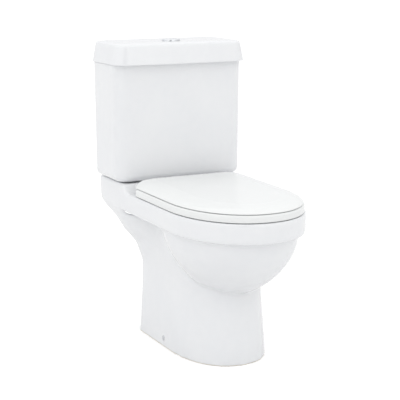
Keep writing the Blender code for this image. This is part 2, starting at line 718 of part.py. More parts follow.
def make_button():
    low, seat = LID_UNDER - BEZEL_BELOW, LID_TOP + GAP
    top = seat + BEZEL_HEIGHT
    bezel = [
        (BEZEL_BORE, low),
        (BEZEL_BARREL, low),
        (BEZEL_BARREL, seat),
        (BEZEL_RADIUS, seat),
        (BEZEL_RADIUS, seat + 0.0015),
        (BEZEL_RADIUS - 0.001, top - 0.001),
        (BEZEL_RADIUS - 0.0026, top),
        (BEZEL_BORE, top - 0.001),
    ]
    upright("button_bezel", turned(bezel, FINE, hollow=True), CHROME, 0, BUTTON_PLACE, 0)
    nut_top = LID_UNDER - GAP
    clamp = nut(BEZEL_BARREL + GAP, CLAMP_NUT_RADIUS, nut_top - CLAMP_NUT_HEIGHT, nut_top, SMALL, FINE)
    upright("button_clamp_nut", clamp, VALVE_PLASTIC, 0, BUTTON_PLACE, 0)
    bottom = low + CLAMP_NUT_HEIGHT
    for name, side in (("full_flush", 1), ("half_flush", -1)):
        button = half_disc(side, BUTTON_RADIUS, bottom, top - 0.0002)
        upright(f"{name}_button", button, CHROME, 0, BUTTON_PLACE, 0)
        push = rod(ROD_RADIUS, TOWER_TOP - ROD_REACH, bottom - GAP, SMALL)
        upright(f"{name}_rod", push, VALVE_PLASTIC, side * ROD_PLACE, BUTTON_PLACE, 0)


# ---------------------------------------------------------------- flush valve


def make_flush_valve():
    washer = TANK_INSIDE + GAP
    flange = washer + WASHER + GAP
    shoulder, seat = flange + FLANGE_HEIGHT, flange + SEAT_RISE
    base = [
        (VALVE_BORE, WELL_FLOOR + 0.005),
        (VALVE_SHANK, WELL_FLOOR + 0.005),
        (VALVE_SHANK, flange),
        (FLANGE_RADIUS, flange),
        (FLANGE_RADIUS, shoulder),
        (VALVE_BORE + 0.004, shoulder),
        (VALVE_BORE + 0.003, seat),
        (VALVE_BORE, seat),
    ]
    upright("flush_valve_base", turned(base, FINE, hollow=True), VALVE_PLASTIC, 0, BUTTON_PLACE, 0)
    ring = tube(VALVE_SHANK + GAP, FLANGE_RADIUS - 0.002, washer, washer + WASHER, FINE)
    upright("flush_valve_washer", ring, RUBBER, 0, BUTTON_PLACE, 0)
    under = TANK_BOTTOM - GAP
    backnut = nut(VALVE_SHANK + GAP, BACKNUT_RADIUS, under - BACKNUT_HEIGHT, under, SMALL, FINE)
    upright("flush_valve_backnut", backnut, VALVE_PLASTIC, 0, BUTTON_PLACE, 0)
    gasket = tube(GASKET_BORE, GASKET_RADIUS, WELL_FLOOR + GAP, under, FINE)
    upright("coupling_gasket", gasket, RUBBER, 0, BUTTON_PLACE, 0)

    foot, inner, cap = shoulder + GAP, TOWER_RADIUS - TOWER_WALL, TOWER_TOP - 0.004
    throat = OVERFLOW_RADIUS + 0.0006
    shell = [(inner, foot), (TOWER_RADIUS, foot), (TOWER_RADIUS, TOWER_TOP), (throat, TOWER_TOP)]
    tower = moved(turned(shell + [(throat, cap), (inner, cap)], FINE, hollow=True), place=BUTTON_PLACE)
    window, across = foot + 0.006, TOWER_RADIUS + OVERCUT
    for wide, deep in ((WINDOW_HALF, across), (across, WINDOW_HALF)):
        opening = about(0, wide), about(BUTTON_PLACE, deep)
        cut(tower, block(*opening, (window, window + WINDOW_HEIGHT)))
    for _, side in SIDES:
        low, high = cap - OVERCUT, TOWER_TOP + OVERCUT
        cut(tower, post(ROD_RADIUS + 0.0005, low, high, side * ROD_PLACE, BUTTON_PLACE, SMALL))
    node("flush_valve_tower", tower, VALVE_PLASTIC, place=BUTTON_PLACE)

    seal, bore = seat + GAP, OVERFLOW_RADIUS - OVERFLOW_WALL
    ring = tube(bore, inner - 0.002, seal, seal + TOWER_WALL, FINE)
    upright("flush_seal", ring, RUBBER, 0, BUTTON_PLACE, 0)
    disc = seal + TOWER_WALL + GAP
    top = TOWER_TOP - OVERFLOW_DROP
    overflow = [
        (bore, disc),
        (inner - 0.0015, disc),
        (inner - 0.0015, disc + 0.004),
        (OVERFLOW_RADIUS, disc + 0.006),
        (OVERFLOW_RADIUS, top),
        (bore, top),
    ]
    upright("overflow_tube", turned(overflow, hollow=True), VALVE_PLASTIC, 0, BUTTON_PLACE, 0)


# ---------------------------------------------------------------- fill valve


def make_fill_valve():
    washer = TANK_INSIDE + GAP
    flange = washer + WASHER + GAP
    tail, shoulder, wide = TANK_BOTTOM - FILL_TAIL, flange + FLANGE_HEIGHT, FILL_SHANK + FILL_FLANGE
    body = [
        (FILL_BORE, tail),
        (FILL_SHANK, tail),
        (FILL_SHANK, flange),
        (wide, flange),
        (wide, shoulder),
        (FILL_RISER, shoulder),
        (FILL_RISER, FILL_TOP),
        (FILL_BORE, FILL_TOP),
    ]
    here = FILL_X, FILL_PLACE, 0
    upright("fill_valve_body", turned(body, hollow=True), VALVE_PLASTIC, *here)
    ring = tube(FILL_SHANK + GAP, wide + 0.001, washer, washer + WASHER)
    upright("fill_valve_washer", ring, RUBBER, *here)
    under = TANK_BOTTOM - GAP
    backnut = nut(FILL_SHANK + GAP, wide + 0.001, under - 0.009, under, 6, ROUND)
    upright("fill_valve_backnut", backnut, VALVE_PLASTIC, *here)

    # The valve's head carries the arm's pin on a lug at its side
    arm_x, pivot, link = FILL_X - ARM_SIDE, FILL_PLACE - ARM_PIVOT, FILL_PLACE + ARM_LINK
    height, half = FILL_TOP + ARM_RISE, ARM_THICK / 2
    low = FILL_TOP + GAP
    top = low + HEAD_HEIGHT
    dome = [(0, low), (FILL_HEAD, low), (FILL_HEAD, top - 0.008), (FILL_HEAD - 0.004, top), (0, top)]
    head = moved(turned(dome), FILL_X, FILL_PLACE)
    face = arm_x + half + 0.0005
    join(head, block((face, FILL_X), (pivot - 0.006, pivot + 0.010), about(height, 0.006)))
    bore = ARM_PIN + PIN_CLEARANCE
    cut(head, moved(lying(rod(bore, -2 * OVERCUT, 0.0105, SMALL)), arm_x, pivot, height))
    node("fill_valve_head", head, VALVE_PLASTIC, FILL_X, FILL_PLACE, low)

    arm = block(about(arm_x, half), (pivot - 0.006, link + 0.010), about(height, half))
    join(arm, moved(lying(rod(0.0055, *about(0, half - 0.0002), SMALL)), arm_x, pivot, height))
    cut(arm, moved(lying(rod(bore, *about(0, OVERCUT), SMALL)), arm_x, pivot, height))
    cut(arm, block(about(arm_x, 0.0018), about(link, 0.005), about(height, OVERCUT)))
    node("float_arm", arm, FLOAT_PLASTIC, arm_x, pivot, height)
    pin = lying(rod(ARM_PIN, -half - 0.002, 0.0098, SMALL))
    node("float_arm_pin", moved(pin, arm_x, pivot, height), STEEL, arm_x, pivot, height)

    # The float is a cup turned upside down round the riser, and hangs from the arm on a thin link
    skirt, roof = FLOAT_OUTER - FLOAT_WALL, FLOAT_TOP - FLOAT_WALL - 0.001
    cup = [
        (FLOAT_INNER, FLOAT_BOTTOM),
        (FLOAT_INNER + FLOAT_WALL, FLOAT_BOTTOM),
        (FLOAT_INNER + FLOAT_WALL, roof),
        (skirt, roof),
        (skirt, FLOAT_BOTTOM),
        (FLOAT_OUTER, FLOAT_BOTTOM),
        (FLOAT_OUTER, FLOAT_TOP),
        (FLOAT_INNER, FLOAT_TOP),
    ]
    cup = moved(turned(cup, hollow=True), FILL_X, FILL_PLACE)
    foot, over = FLOAT_TOP - 0.002, height + half + 0.003
    stem = [(0, foot), (LINK_RADIUS, foot), (LINK_RADIUS, over)]
    stem += [(2 * LINK_RADIUS, over), (2 * LINK_RADIUS, over + 0.002), (0, over + 0.002)]
    join(cup, moved(turned(stem, SMALL), arm_x, link))
    node("float_cup", cup, FLOAT_PLASTIC, FILL_X, FILL_PLACE, FLOAT_TOP)


# ---------------------------------------------------------------- bolts, washers and wing nuts


def wing_nut(name, x, place, top, shank):
    hub = rod(WING_HUB, top - 0.009, top, SMALL)
    join(hub, block(about(0, WING_SPAN), about(WALL, WING_HALF), (top - 0.014, top - 0.002)))
    cut(hub, rod(shank + GAP, top - 3 * OVERCUT, top + OVERCUT, SMALL))
    upright(name, hub, BRACKET_PLASTIC, x, place, 0)


def washer_and_nut(name, label, x, place, under, shank):
    """A soft washer under the china, and a wing nut under it."""
    soft = tube(shank + GAP, BOLT_WASHER, under - SOFT_WASHER, under, SMALL)
    upright(f"{name}_washer_{label}", soft, RUBBER, x, place, 0)
    wing_nut(f"{name}_wing_nut_{label}", x, place, under - SOFT_WASHER - GAP, shank)


def make_coupling():
    for label, side in SIDES:
        x = side * COUPLING_X
        seal = TANK_INSIDE + GAP
        ring = tube(COUPLING_SHANK + GAP, BOLT_WASHER, seal, seal + WASHER, SMALL)
        upright(f"coupling_seal_{label}", ring, RUBBER, x, BUTTON_PLACE, 0)
        head, end = seal + WASHER + GAP, TANK_BOTTOM - COUPLING_DROP
        shank = [(0, end), (COUPLING_SHANK, end), (COUPLING_SHANK, head)]
        bolt = turned(shank + [(BOLT_HEAD, head), (BOLT_HEAD, head + 0.004), (0, head + 0.004)], SMALL)
        upright(f"coupling_bolt_{label}", bolt, STEEL, x, BUTTON_PLACE, 0)
        washer_and_nut("coupling", label, x, BUTTON_PLACE, PLATFORM_UNDER - GAP, COUPLING_SHANK)


# ---------------------------------------------------------------- seat, lid and hinges


def barrel(centre, half, radius=KNUCKLE_RADIUS, steps=ROUND):
    """A knuckle lying along X about the hinge axis."""
    return moved(lying(rod(radius, -half, half, steps)), centre, HINGE_PLACE, HINGE_HEIGHT)


def make_hinges():
    for label, side in SIDES:
        x, base = side * HINGE_X, RIM_HEIGHT + GAP
        depth = KNUCKLE_RADIUS + 0.001
        pillar = block(about(x, KNUCKLE_HALF), about(HINGE_PLACE, depth), (base, HINGE_HEIGHT))
        join(pillar, barrel(x, KNUCKLE_HALF - 0.0001))
        join(pillar, post(STUD_RADIUS, RIM_HEIGHT - STUD_LENGTH, base + 0.004, x, HINGE_PLACE, SMALL))
        cut(pillar, barrel(x, 2 * OVERCUT, PIN_RADIUS + GAP, SMALL))
        node(f"hinge_pillar_{label}", pillar, CHROME, x, HINGE_PLACE, HINGE_HEIGHT)
        rim = [(HINGE_COVER, base), (HINGE_COVER, base + 0.001), (HINGE_COVER - 0.002, base + 0.002)]
        cover = [(HINGE_COVER_BORE, base), *rim, (HINGE_COVER_BORE, base + 0.002)]
        upright(f"hinge_cover_{label}", turned(cover, hollow=True), CHROME, x, HINGE_PLACE, 0)
        reach = KNUCKLE_HALF + KNUCKLE_GAP + LUG_WIDTH
        axis = x, HINGE_PLACE, HINGE_HEIGHT
        pin = moved(lying(rod(PIN_RADIUS, 0.001 - reach, reach, SMALL)), *axis)
        node(f"hinge_pin_{label}", pin, STEEL, *axis)
        washer_and_nut("hinge", label, x, HINGE_PLACE, DECK_UNDER - GAP, STUD_RADIUS)


def make_seat():
    edge = (
        (SEAT_BOTTOM, 0.0015),
        (SEAT_BOTTOM + 0.0015, 0),
        (SEAT_TOP - 0.005, 0),
        (SEAT_TOP - 0.0015, 0.0018),
        (SEAT_TOP, 0.005),
    )
    levels = []
    for z, inset in edge:
        levels.append((z, horseshoe(SEAT_INSET + inset, SEAT_REAR + inset, SEAT_CORNER - inset)))
    ring = loft(levels)
    low, high = SEAT_BOTTOM - OVERCUT, SEAT_TOP + OVERCUT
    centre, half = BOWL_CENTRE + SEAT_HOLE_SHIFT, RIM_HALF - SEAT_WIDTH
    hole = []
    for z, grow in ((low, 0), (SEAT_TOP - 0.006, 0), (SEAT_TOP - 0.001, 0.003), (high, 0.012)):
        reach = SEAT_HOLE_NOSE + grow, SEAT_HOLE_TAIL + grow
        hole.append((z, oval(half + grow, centre, *reach, SEAT_HOLE_POWER)))
    cut(ring, loft(hole))
    for _, side in SIDES:
        x = side * HINGE_X
        cut(ring, block(about(x, NOTCH_HALF), (SEAT_REAR - 2 * OVERCUT, NOTCH_FRONT), (low, high)))
        width = LUG_WIDTH / 2 + 0.004
        join(ring, barrel(x - side * (KNUCKLE_HALF + KNUCKLE_GAP + width), width))
        bored = KNUCKLE_HALF + LUG_WIDTH / 2
        cut(ring, barrel(x - side * bored, LUG_WIDTH / 2 + 0.001, PIN_RADIUS + PIN_CLEARANCE, SMALL))
    front, rear = (RIM_HALF - 0.0849, PROJECTION - 0.058), (RIM_HALF - 0.0249, SEAT_REAR + 0.097)
    for end, (x, place) in (("front", front), ("rear", rear)):
        for label, side in SIDES:
            sunk = SEAT_BOTTOM + BUFFER_SUNK
            cut(ring, post(BUFFER_RADIUS + GAP, low, sunk, side * x, place, SMALL))
            pad = rod(BUFFER_RADIUS, RIM_HEIGHT + GAP, sunk - GAP, SMALL)
            upright(f"ring_buffer_{end}_{label}", pad, BUFFER_RUBBER, side * x, place, 0)
    node("seat_ring", ring, SEAT_PLASTIC, 0, HINGE_PLACE, HINGE_HEIGHT)


def cover_levels(wall):
    """The lid's thin edge, then a slope up to its top, steep at the back, less a wall all round."""
    edge = ((0.0, 0.0008), (0.001, 0.0), (0.003, 0.002), (0.006, 0.008), (0.0086, 0.016), (0.0104, 0.024))
    edge += ((0.012, 0.034), (0.0132, 0.045), (COVER_THICKNESS, 0.058))
    levels = []
    for rise, slope in edge:
        inset, rear = wall + slope, wall + COVER_REAR_SLOPE * slope
        plan = horseshoe(COVER_INSET + inset, COVER_REAR + rear, max(COVER_CORNER - inset, 0.006))
        levels.append((COVER_BOTTOM + rise - wall, plan))
    return levels


def tilted(shell):
    """Raises the top of a shell steadily towards its back."""
    for vertex in shell.data.vertices:
        share = (vertex.co.y + WALL) / (PROJECTION - COVER_REAR)
        vertex.co.z += COVER_RISE * share * max((vertex.co.z - COVER_BOTTOM) / COVER_THICKNESS, 0)
    return shell


def make_seat_lid():
    lid = tilted(loft(cover_levels(0)))
    hollow = cover_levels(COVER_WALL)
    low, behind = COVER_BOTTOM - OVERCUT, COVER_REAR - 2 * OVERCUT
    cut(lid, tilted(loft([(low, hollow[0][1]), *hollow[1:]])))
    # The rear skirt stops short, to clear the ring when the lid is up, and leaves room for the hinges
    cut(lid, block(about(0, RIM_HALF + OVERCUT), (behind, HINGE_PLACE - 0.002), (low, COVER_BOTTOM + 0.0015)))
    for _, side in SIDES:
        x = side * HINGE_X
        cut(lid, block(about(x, NOTCH_HALF), (COVER_REAR + 0.007, HINGE_PLACE + 0.015), (low, HINGE_CEILING)))
        cut(lid, block(about(x, KNUCKLE_HALF + 0.003), (behind, HINGE_PLACE), (low, HINGE_CEILING)))
        knuckle = x + side * (KNUCKLE_HALF + KNUCKLE_GAP + LUG_WIDTH / 2)
        web = about(knuckle, LUG_WIDTH / 2 - 0.0001), about(HINGE_PLACE, KNUCKLE_RADIUS - 0.0005)
        web_top = COVER_TOP - COVER_WALL + COVER_RISE + 0.001
        join(lid, block(*web, (HINGE_HEIGHT, web_top)), barrel(knuckle, LUG_WIDTH / 2))
        cut(lid, barrel(knuckle, LUG_WIDTH / 2 + 0.001, PIN_RADIUS + PIN_CLEARANCE, SMALL))
    x, place = RIM_HALF - 0.0699, PROJECTION - 0.1165
    boss = COVER_BOTTOM + LID_BUFFER_SUNK
    for label, side in SIDES:
        top = COVER_TOP - COVER_WALL + 0.0018
        join(lid, post(LID_BUFFER_RADIUS + 0.0015, boss, top, side * x, place, SMALL))
        pad = rod(LID_BUFFER_RADIUS, SEAT_TOP + GAP, boss - GAP, SMALL)
        upright(f"lid_buffer_{label}", pad, BUFFER_RUBBER, side * x, place, 0)
    node("seat_lid", lid, SEAT_PLASTIC, 0, HINGE_PLACE, HINGE_HEIGHT)


# ---------------------------------------------------------------- floor fixing


def make_floor_fixing():
    """On each side a chromed cap, a screw through the china and a bracket on the floor inside the foot."""
    outer, inside = FOOT_HALF - CAP_SUNK, FOOT_HALF - CHINA - 0.0035
    back = outer - CAP_DEPTH
    head = back - GAP
    for label, side in SIDES:
        cap = [(0, back), (CAP_RADIUS, back), (CAP_RADIUS, outer - 0.0006)]
        cap += [(CAP_RADIUS - 0.001, outer), (0, outer)]
        neck = head - 0.002
        shank = [(0, SCREW_END), (SCREW_RADIUS, SCREW_END), (SCREW_RADIUS, neck)]
        screw = shank + [(SCREW_HEAD, neck), (SCREW_HEAD, head), (0, head)]
        base = GAP + 0.0002 - FIXING_HEIGHT
        bracket = block((BRACKET_INNER, inside), about(WALL, BRACKET_HALF), (base, BRACKET_RISE))
        cut(bracket, lying(rod(SCREW_RADIUS + GAP, BRACKET_INNER - 3 * OVERCUT, inside + 3 * OVERCUT, SMALL)))
        for name, piece, finish in (
            ("screw_cap", lying(turned(cap, SMALL)), CHROME),
            ("side_screw", lying(turned(screw, SMALL)), STEEL),
            ("floor_bracket", bracket, BRACKET_PLASTIC),
        ):
            if side < 0:
                piece.data.transform(Matrix.Rotation(math.pi, 4, "Z"))
            moved(piece, 0, FIXING_PLACE, FIXING_HEIGHT)
            node(f"{name}_{label}", piece, finish, side * inside, FIXING_PLACE, FIXING_HEIGHT)


make_pan()
make_tank()
make_cistern_lid()
make_button()
make_flush_valve()
make_fill_valve()
make_coupling()
make_hinges()
make_seat()
make_seat_lid()
make_floor_fixing()
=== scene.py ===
import math

import bmesh
import bpy
import numpy as np
from mathutils import Matrix, Vector


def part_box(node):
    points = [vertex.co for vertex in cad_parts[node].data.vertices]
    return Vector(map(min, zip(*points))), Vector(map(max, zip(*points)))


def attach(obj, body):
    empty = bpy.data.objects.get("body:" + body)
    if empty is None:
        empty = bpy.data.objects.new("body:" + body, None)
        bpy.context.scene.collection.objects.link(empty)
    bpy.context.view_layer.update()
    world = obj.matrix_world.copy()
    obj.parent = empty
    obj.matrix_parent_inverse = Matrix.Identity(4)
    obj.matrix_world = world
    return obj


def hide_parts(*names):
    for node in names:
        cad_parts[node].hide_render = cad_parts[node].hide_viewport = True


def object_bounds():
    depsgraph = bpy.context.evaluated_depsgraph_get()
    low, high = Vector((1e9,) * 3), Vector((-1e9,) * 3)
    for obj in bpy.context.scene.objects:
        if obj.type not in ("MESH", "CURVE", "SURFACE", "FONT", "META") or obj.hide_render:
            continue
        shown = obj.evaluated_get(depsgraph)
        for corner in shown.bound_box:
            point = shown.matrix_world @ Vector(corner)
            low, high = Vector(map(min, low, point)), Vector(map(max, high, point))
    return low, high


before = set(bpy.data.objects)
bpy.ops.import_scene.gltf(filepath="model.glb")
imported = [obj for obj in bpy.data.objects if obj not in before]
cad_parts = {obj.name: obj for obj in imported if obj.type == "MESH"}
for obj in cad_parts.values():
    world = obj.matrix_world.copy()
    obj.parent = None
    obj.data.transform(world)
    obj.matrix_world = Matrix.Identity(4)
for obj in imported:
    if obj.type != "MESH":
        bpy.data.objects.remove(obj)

cad_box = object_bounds()

# ------------------------------------------------------------------ pan
# The pan is vitreous china, slip cast in a plaster mould and fired in one piece. White glaze covers it but
# for the edge that it stands on. A round bowl hangs in front of a foot that flares up into the deck.

WALL = cad_box[1].y  # the wall's Y: places from back to front are distances from it
PLATFORM_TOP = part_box("pan")[1].z
RIM_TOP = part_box("ring_buffer_front_left")[0].z - 0.0003
RIM_HALF = 0.1749
RIM_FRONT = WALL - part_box("pan")[0].y
BAND_BOTTOM = RIM_TOP - 0.0525
NOSE_STARTS = 0.444
CHINA = 0.012
DECK_UNDER = RIM_TOP - 0.014
PLATFORM_FRONT = 0.177
BOWL_PLACE = 0.447
BOWL_DEPTH = 0.172
FOOT_HALF = 0.1206
FOOT_FRONT = 0.5305
VALVE_PLACE = 0.105  # the flush valve's and the button's axis
HINGE_X, HINGE_PLACE = 0.0775, 0.226
FIXING_PLACE, FIXING_HEIGHT = 0.304, 0.023
GRAIN = 0.004  # the size of the faces that the china is rebuilt from
PLATFORM_ROUND = 0.022  # the curve from the deck up to the platform
BOLT_X = 0.085
INLET_X, INLET_PLACE = 0.135, 0.090  # the fill valve's axis
OUTLET_HEIGHT = 0.185
FIXING_HOLE = 0.0055
PAST = 0.02  # how far a cutter runs past the china


class Wire:
    """A socket in a material. Arithmetic on it adds Math nodes, and node() adds any other."""

    def __init__(self, socket):
        self.socket = socket

    def node(self, kind, settings=None, inputs=None, output=0):
        """Adds a node: its settings first, then the values or links of its sockets."""
        tree = self.socket.id_data
        made = tree.nodes.new(kind)
        for name, value in (settings or {}).items():
            setattr(made, name, value)
        for name, value in (inputs or {}).items():
            if isinstance(value, Wire):
                tree.links.new(value.socket, made.inputs[name])
            else:
                made.inputs[name].default_value = value
        return Wire(made.outputs[output])

    def maths(self, operation, first, second=0.0):
        return self.node("ShaderNodeMath", {"operation": operation}, {0: first, 1: second})

    def __add__(self, other):
        return self.maths("ADD", self, other)

    def __radd__(self, other):
        return self.maths("ADD", other, self)

    def __sub__(self, other):
        return self.maths("SUBTRACT", self, other)

    def __rsub__(self, other):
        return self.maths("SUBTRACT", other, self)

    def __mul__(self, other):
        return self.maths("MULTIPLY", self, other)

    def __rmul__(self, other):
        return self.maths("MULTIPLY", other, self)

    def noise(self, scale, detail=2.0, roughness=0.5):
        """A soft random pattern, 0 to 1, of this many lumps to the metre."""
        sockets = {"Vector": self, "Scale": scale, "Detail": detail, "Roughness": roughness}
        return self.node("ShaderNodeTexNoise", None, sockets)

    def step(self, low, high):
        """0 below low, 1 above high and smooth between them."""
        settings = {"interpolation_type": "SMOOTHSTEP", "clamp": True}
        return self.node("ShaderNodeMapRange", settings, {0: self, 1: low, 2: high, 3: 0.0, 4: 1.0})

    def blend(self, first, second):
        """The first colour where this is 0 and the second where it is 1."""
        return self.node("ShaderNodeMix", {"data_type": "RGBA"}, {0: self, 6: first, 7: second}, 2)

    def bump(self, height):
        """The surface's normal with this wire as a relief of that height in metres."""
        return self.node("ShaderNodeBump", None, {"Height": self, "Distance": height, "Strength": 1.0})


def new_finish(name):
    """A material and the wire of its piece's own coordinates, in metres."""
    made = bpy.data.materials.new(name)
    made.use_nodes = True
    return made, Wire(made.node_tree.nodes.new("ShaderNodeTexCoord").outputs["Object"])


def settle(finish, **values):
    """Sets the shader's sockets to values or wires."""
    shader = finish.node_tree.nodes["Principled BSDF"]
    for name, value in values.items():
        socket = shader.inputs[name.replace("_", " ")]
        if isinstance(value, Wire):
            finish.node_tree.links.new(value.socket, socket)
        else:
            socket.default_value = value


def china_glaze(name, thin, thick):
    """White glaze over china: faint pooling, a soft waviness, and bare china at the foot."""
    finish, at = new_finish(name)
    height = at.node("ShaderNodeSeparateXYZ", None, {"Vector": at}, 2)
    cloud = at.noise(7.0, 3.0) * 0.65 + at.noise(48.0, 2.0) * 0.35
    bare = 1 - (height + at.noise(90.0) * 0.0014).step(0.0028, 0.0040)
    speck = 1 - at.node("ShaderNodeTexVoronoi", None, {"Vector": at, "Scale": 85.0}).step(0.02, 0.045)
    white = cloud.step(0.3, 0.7).blend(thin, thick)
    white = (speck * 0.10).blend(white, (0.62, 0.60, 0.56, 1))
    skin = at.noise(26.0, 1.0) * 0.7 + at.noise(130.0, 1.0) * 0.05 + bare * at.noise(2600.0, 2.0) * 0.25
    settle(
        finish,
        Base_Color=bare.blend(white, (0.71, 0.67, 0.60, 1)),
        Roughness=0.03 + cloud * 0.03 + bare * 0.62,
        Specular_IOR_Level=0.5,
        Coat_Weight=0.35 - bare * 0.35,
        Coat_Roughness=0.02,
        Normal=skin.bump(0.000012),
    )
    return finish


glaze = china_glaze("white_glaze", (0.775, 0.785, 0.805, 1), (0.80, 0.807, 0.822, 1))


def solid(name, points, faces):
    mesh = bpy.data.meshes.new(name)
    mesh.from_pydata([tuple(p) for p in points], [], faces)
    made = bpy.data.objects.new(name, mesh)
    bpy.context.scene.collection.objects.link(made)
    return made


def skin(name, rings):
    """A closed solid through rings of points, with a face over the first and the last."""
    count, around = len(rings), len(rings[0])
    points = [p for ring in rings for p in ring]
    faces = [tuple(reversed(range(around)))]
    for i in range(count - 1):
        for j in range(around):
            k = (j + 1) % around
            faces.append((i * around + j, i * around + k, (i + 1) * around + k, (i + 1) * around + j))
    faces.append(tuple(range((count - 1) * around, count * around)))
    made = solid(name, points, faces)
    shape = bmesh.new()
    shape.from_mesh(made.data)
    bmesh.ops.recalc_face_normals(shape, faces=shape.faces)
    shape.to_mesh(made.data)
    shape.free()
    return made


def loft(name, levels):
    """A solid through plans, from (height, [(x, distance from the wall), ...]) levels."""
    return skin(name, [[(x, WALL - d, z) for x, d in plan] for z, plan in levels])


def eased(stations, values, at):
    """Values read off a smooth curve through (station, value) pairs that never overshoots them."""
    s, v = np.array(stations, float), np.array(values, float)
    run = np.diff(s)
    slope = (np.diff(v, axis=0).T / run).T
    steep = np.zeros_like(v)
    steep[0], steep[-1] = slope[0], slope[-1]
    product = slope[:-1] * slope[1:]
    harmonic = 2 * product / np.where(product > 0, slope[:-1] + slope[1:], 1)
    steep[1:-1] = np.where(product > 0, harmonic, 0)
    i = np.clip(np.searchsorted(s, at) - 1, 0, len(s) - 2)
    t = (at - s[i]) / run[i]
    shape = (-1,) + (1,) * (v.ndim - 1)
    t, h = t.reshape(shape), run[i].reshape(shape)
    return (
        v[i] * (2 * t**3 - 3 * t**2 + 1)
        + v[i + 1] * (3 * t**2 - 2 * t**3)
        + h * steep[i] * (t**3 - 2 * t**2 + t)
        + h * steep[i + 1] * (t**3 - t**2)
    )


def circle(steps):
    """Angles all the way round."""
    return [2 * math.pi * i / steps for i in range(steps)]


def quarter(steps):
    """Angles from 0 up to a right angle."""
    return [math.pi / 2 * i / steps for i in range(steps + 1)]


def corner(half, rear, radius, steps):
    """The left rear corner of a plan, from the rear edge round to the side."""
    side = half - radius
    return [(-(side + radius * math.sin(t)), rear + radius * (1 - math.cos(t))) for t in quarter(steps)]


def mirrored(points):
    return [(-x, d) for x, d in reversed(points)]


def nose_arc(half, straight, front, power, steps):
    """The round front of a plan, from the left side round to the right side."""
    points = []
    for i in range(steps + 1):
        turn = math.pi * i / steps - math.pi / 2
        x = half * math.copysign(abs(math.sin(turn)) ** (2 / power), turn)
        points.append((x, straight + (front - straight) * abs(math.cos(turn)) ** (2 / power)))
    return points


def horseshoe(inset, rear, radius, steps=96):
    """The plan of the rim and the seat: straight sides, a round nose and rounded rear corners."""
    half, left = RIM_HALF - inset, corner(RIM_HALF - inset, rear, radius, 10)
    along = [(-half, left[-1][1] + (NOSE_STARTS - left[-1][1]) * i / 12) for i in range(1, 12)]
    front = nose_arc(half, NOSE_STARTS, RIM_FRONT - inset, 2.11, steps)
    return left + along + front + mirrored(left + along)


def oval(half, centre, nose, tail, power, steps=112):
    points = []
    for turn in circle(steps):
        across, along = math.sin(turn), math.cos(turn)
        x = half * math.copysign(abs(across) ** (2 / power), -across)
        reach = nose if along > 0 else tail
        points.append((x, centre + reach * math.copysign(abs(along) ** (2 / power), along)))
    return points


def round_plan(radius, x, place, steps=48):
    return [(x + radius * math.sin(t), place + radius * math.cos(t)) for t in circle(steps)]


def post(radius, low, high, x, place, steps=48):
    """An upright rod at X and a distance from the wall."""
    return loft("post", [(z, round_plan(radius, x, place, steps)) for z in (low, high)])


def block(x, place, height):
    """A box from its (low, high) X, distances from the wall and heights."""
    plan = [(x[0], place[0]), (x[0], place[1]), (x[1], place[1]), (x[1], place[0])]
    return loft("block", [(z, plan) for z in height])


def pipe(path, radii, steps=40):
    """A round solid along (distance from the wall, height) points in the middle plane."""
    rings, across = [], Vector((1, 0, 0))
    for i, ((d, z), radius) in enumerate(zip(path, radii)):
        before, after = path[max(i - 1, 0)], path[min(i + 1, len(path) - 1)]
        along = Vector((0, before[0] - after[0], after[1] - before[1])).normalized()
        over, centre = along.cross(across), Vector((0, WALL - d, z))
        rings.append([centre + radius * (math.cos(t) * across + math.sin(t) * over) for t in circle(steps)])
    return skin("pipe", rings)


def lying_rod(radius, low, high, place, height, steps=32):
    """A rod along X about a line at this distance from the wall and height."""
    ring = [(WALL - place + radius * math.cos(t), height + radius * math.sin(t)) for t in circle(steps)]
    return skin("rod", [[(x, y, z) for y, z in ring] for x in (low, high)])


def baked(piece):
    """The piece with its modifiers worked into its mesh."""
    evaluated = piece.evaluated_get(bpy.context.evaluated_depsgraph_get())
    mesh = bpy.data.meshes.new_from_object(evaluated)
    piece.modifiers.clear()
    piece.data = mesh
    return piece


def worked(piece, operation, *tools):
    """Joins a piece with other solids or cuts them from it, one by one, and removes them."""
    for tool in tools:
        modifier = piece.modifiers.new("work", "BOOLEAN")
        modifier.operation, modifier.object = operation, tool
        modifier.solver = "MANIFOLD"
        baked(piece)
        bpy.data.objects.remove(tool)
    return piece


def join(piece, *tools):
    return worked(piece, "UNION", *tools)


def cut(piece, *tools):
    return worked(piece, "DIFFERENCE", *tools)


def show(piece, name, finish, body, slot, *nodes, sharp=38):
    """Names a finished piece, gives it its finish and lets it ride in place of the frame's own nodes."""
    piece.name = piece.data.name = name
    piece.data.materials.clear()
    piece.data.materials.append(finish)
    for face in piece.data.polygons:
        face.material_index = 0
    piece.data.shade_smooth()
    piece.data.set_sharp_from_angle(angle=math.radians(sharp))
    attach(piece, body)
    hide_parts(*nodes)
    return piece


# The foot and neck, level by level: height, half width, share of the flare, rear edge and front edge
FOOT_LEVELS = [
    (0.000, 0.1206, 0.00, 0.1495, 0.5305),
    (0.060, 0.1179, 0.00, 0.1495, 0.5270),
    (0.130, 0.1148, 0.00, 0.1495, 0.5220),
    (0.200, 0.1120, 0.02, 0.1495, 0.5160),
    (0.225, 0.1132, 0.14, 0.1455, 0.5120),
    (0.253, 0.1150, 0.22, 0.1325, 0.5080),
    (0.271, 0.1165, 0.41, 0.1185, 0.5050),
    (0.289, 0.1180, 0.61, 0.1025, 0.5005),
    (0.316, 0.1190, 0.75, 0.0705, 0.4905),
    (0.342, 0.1200, 1.00, 0.0305, 0.4805),
]


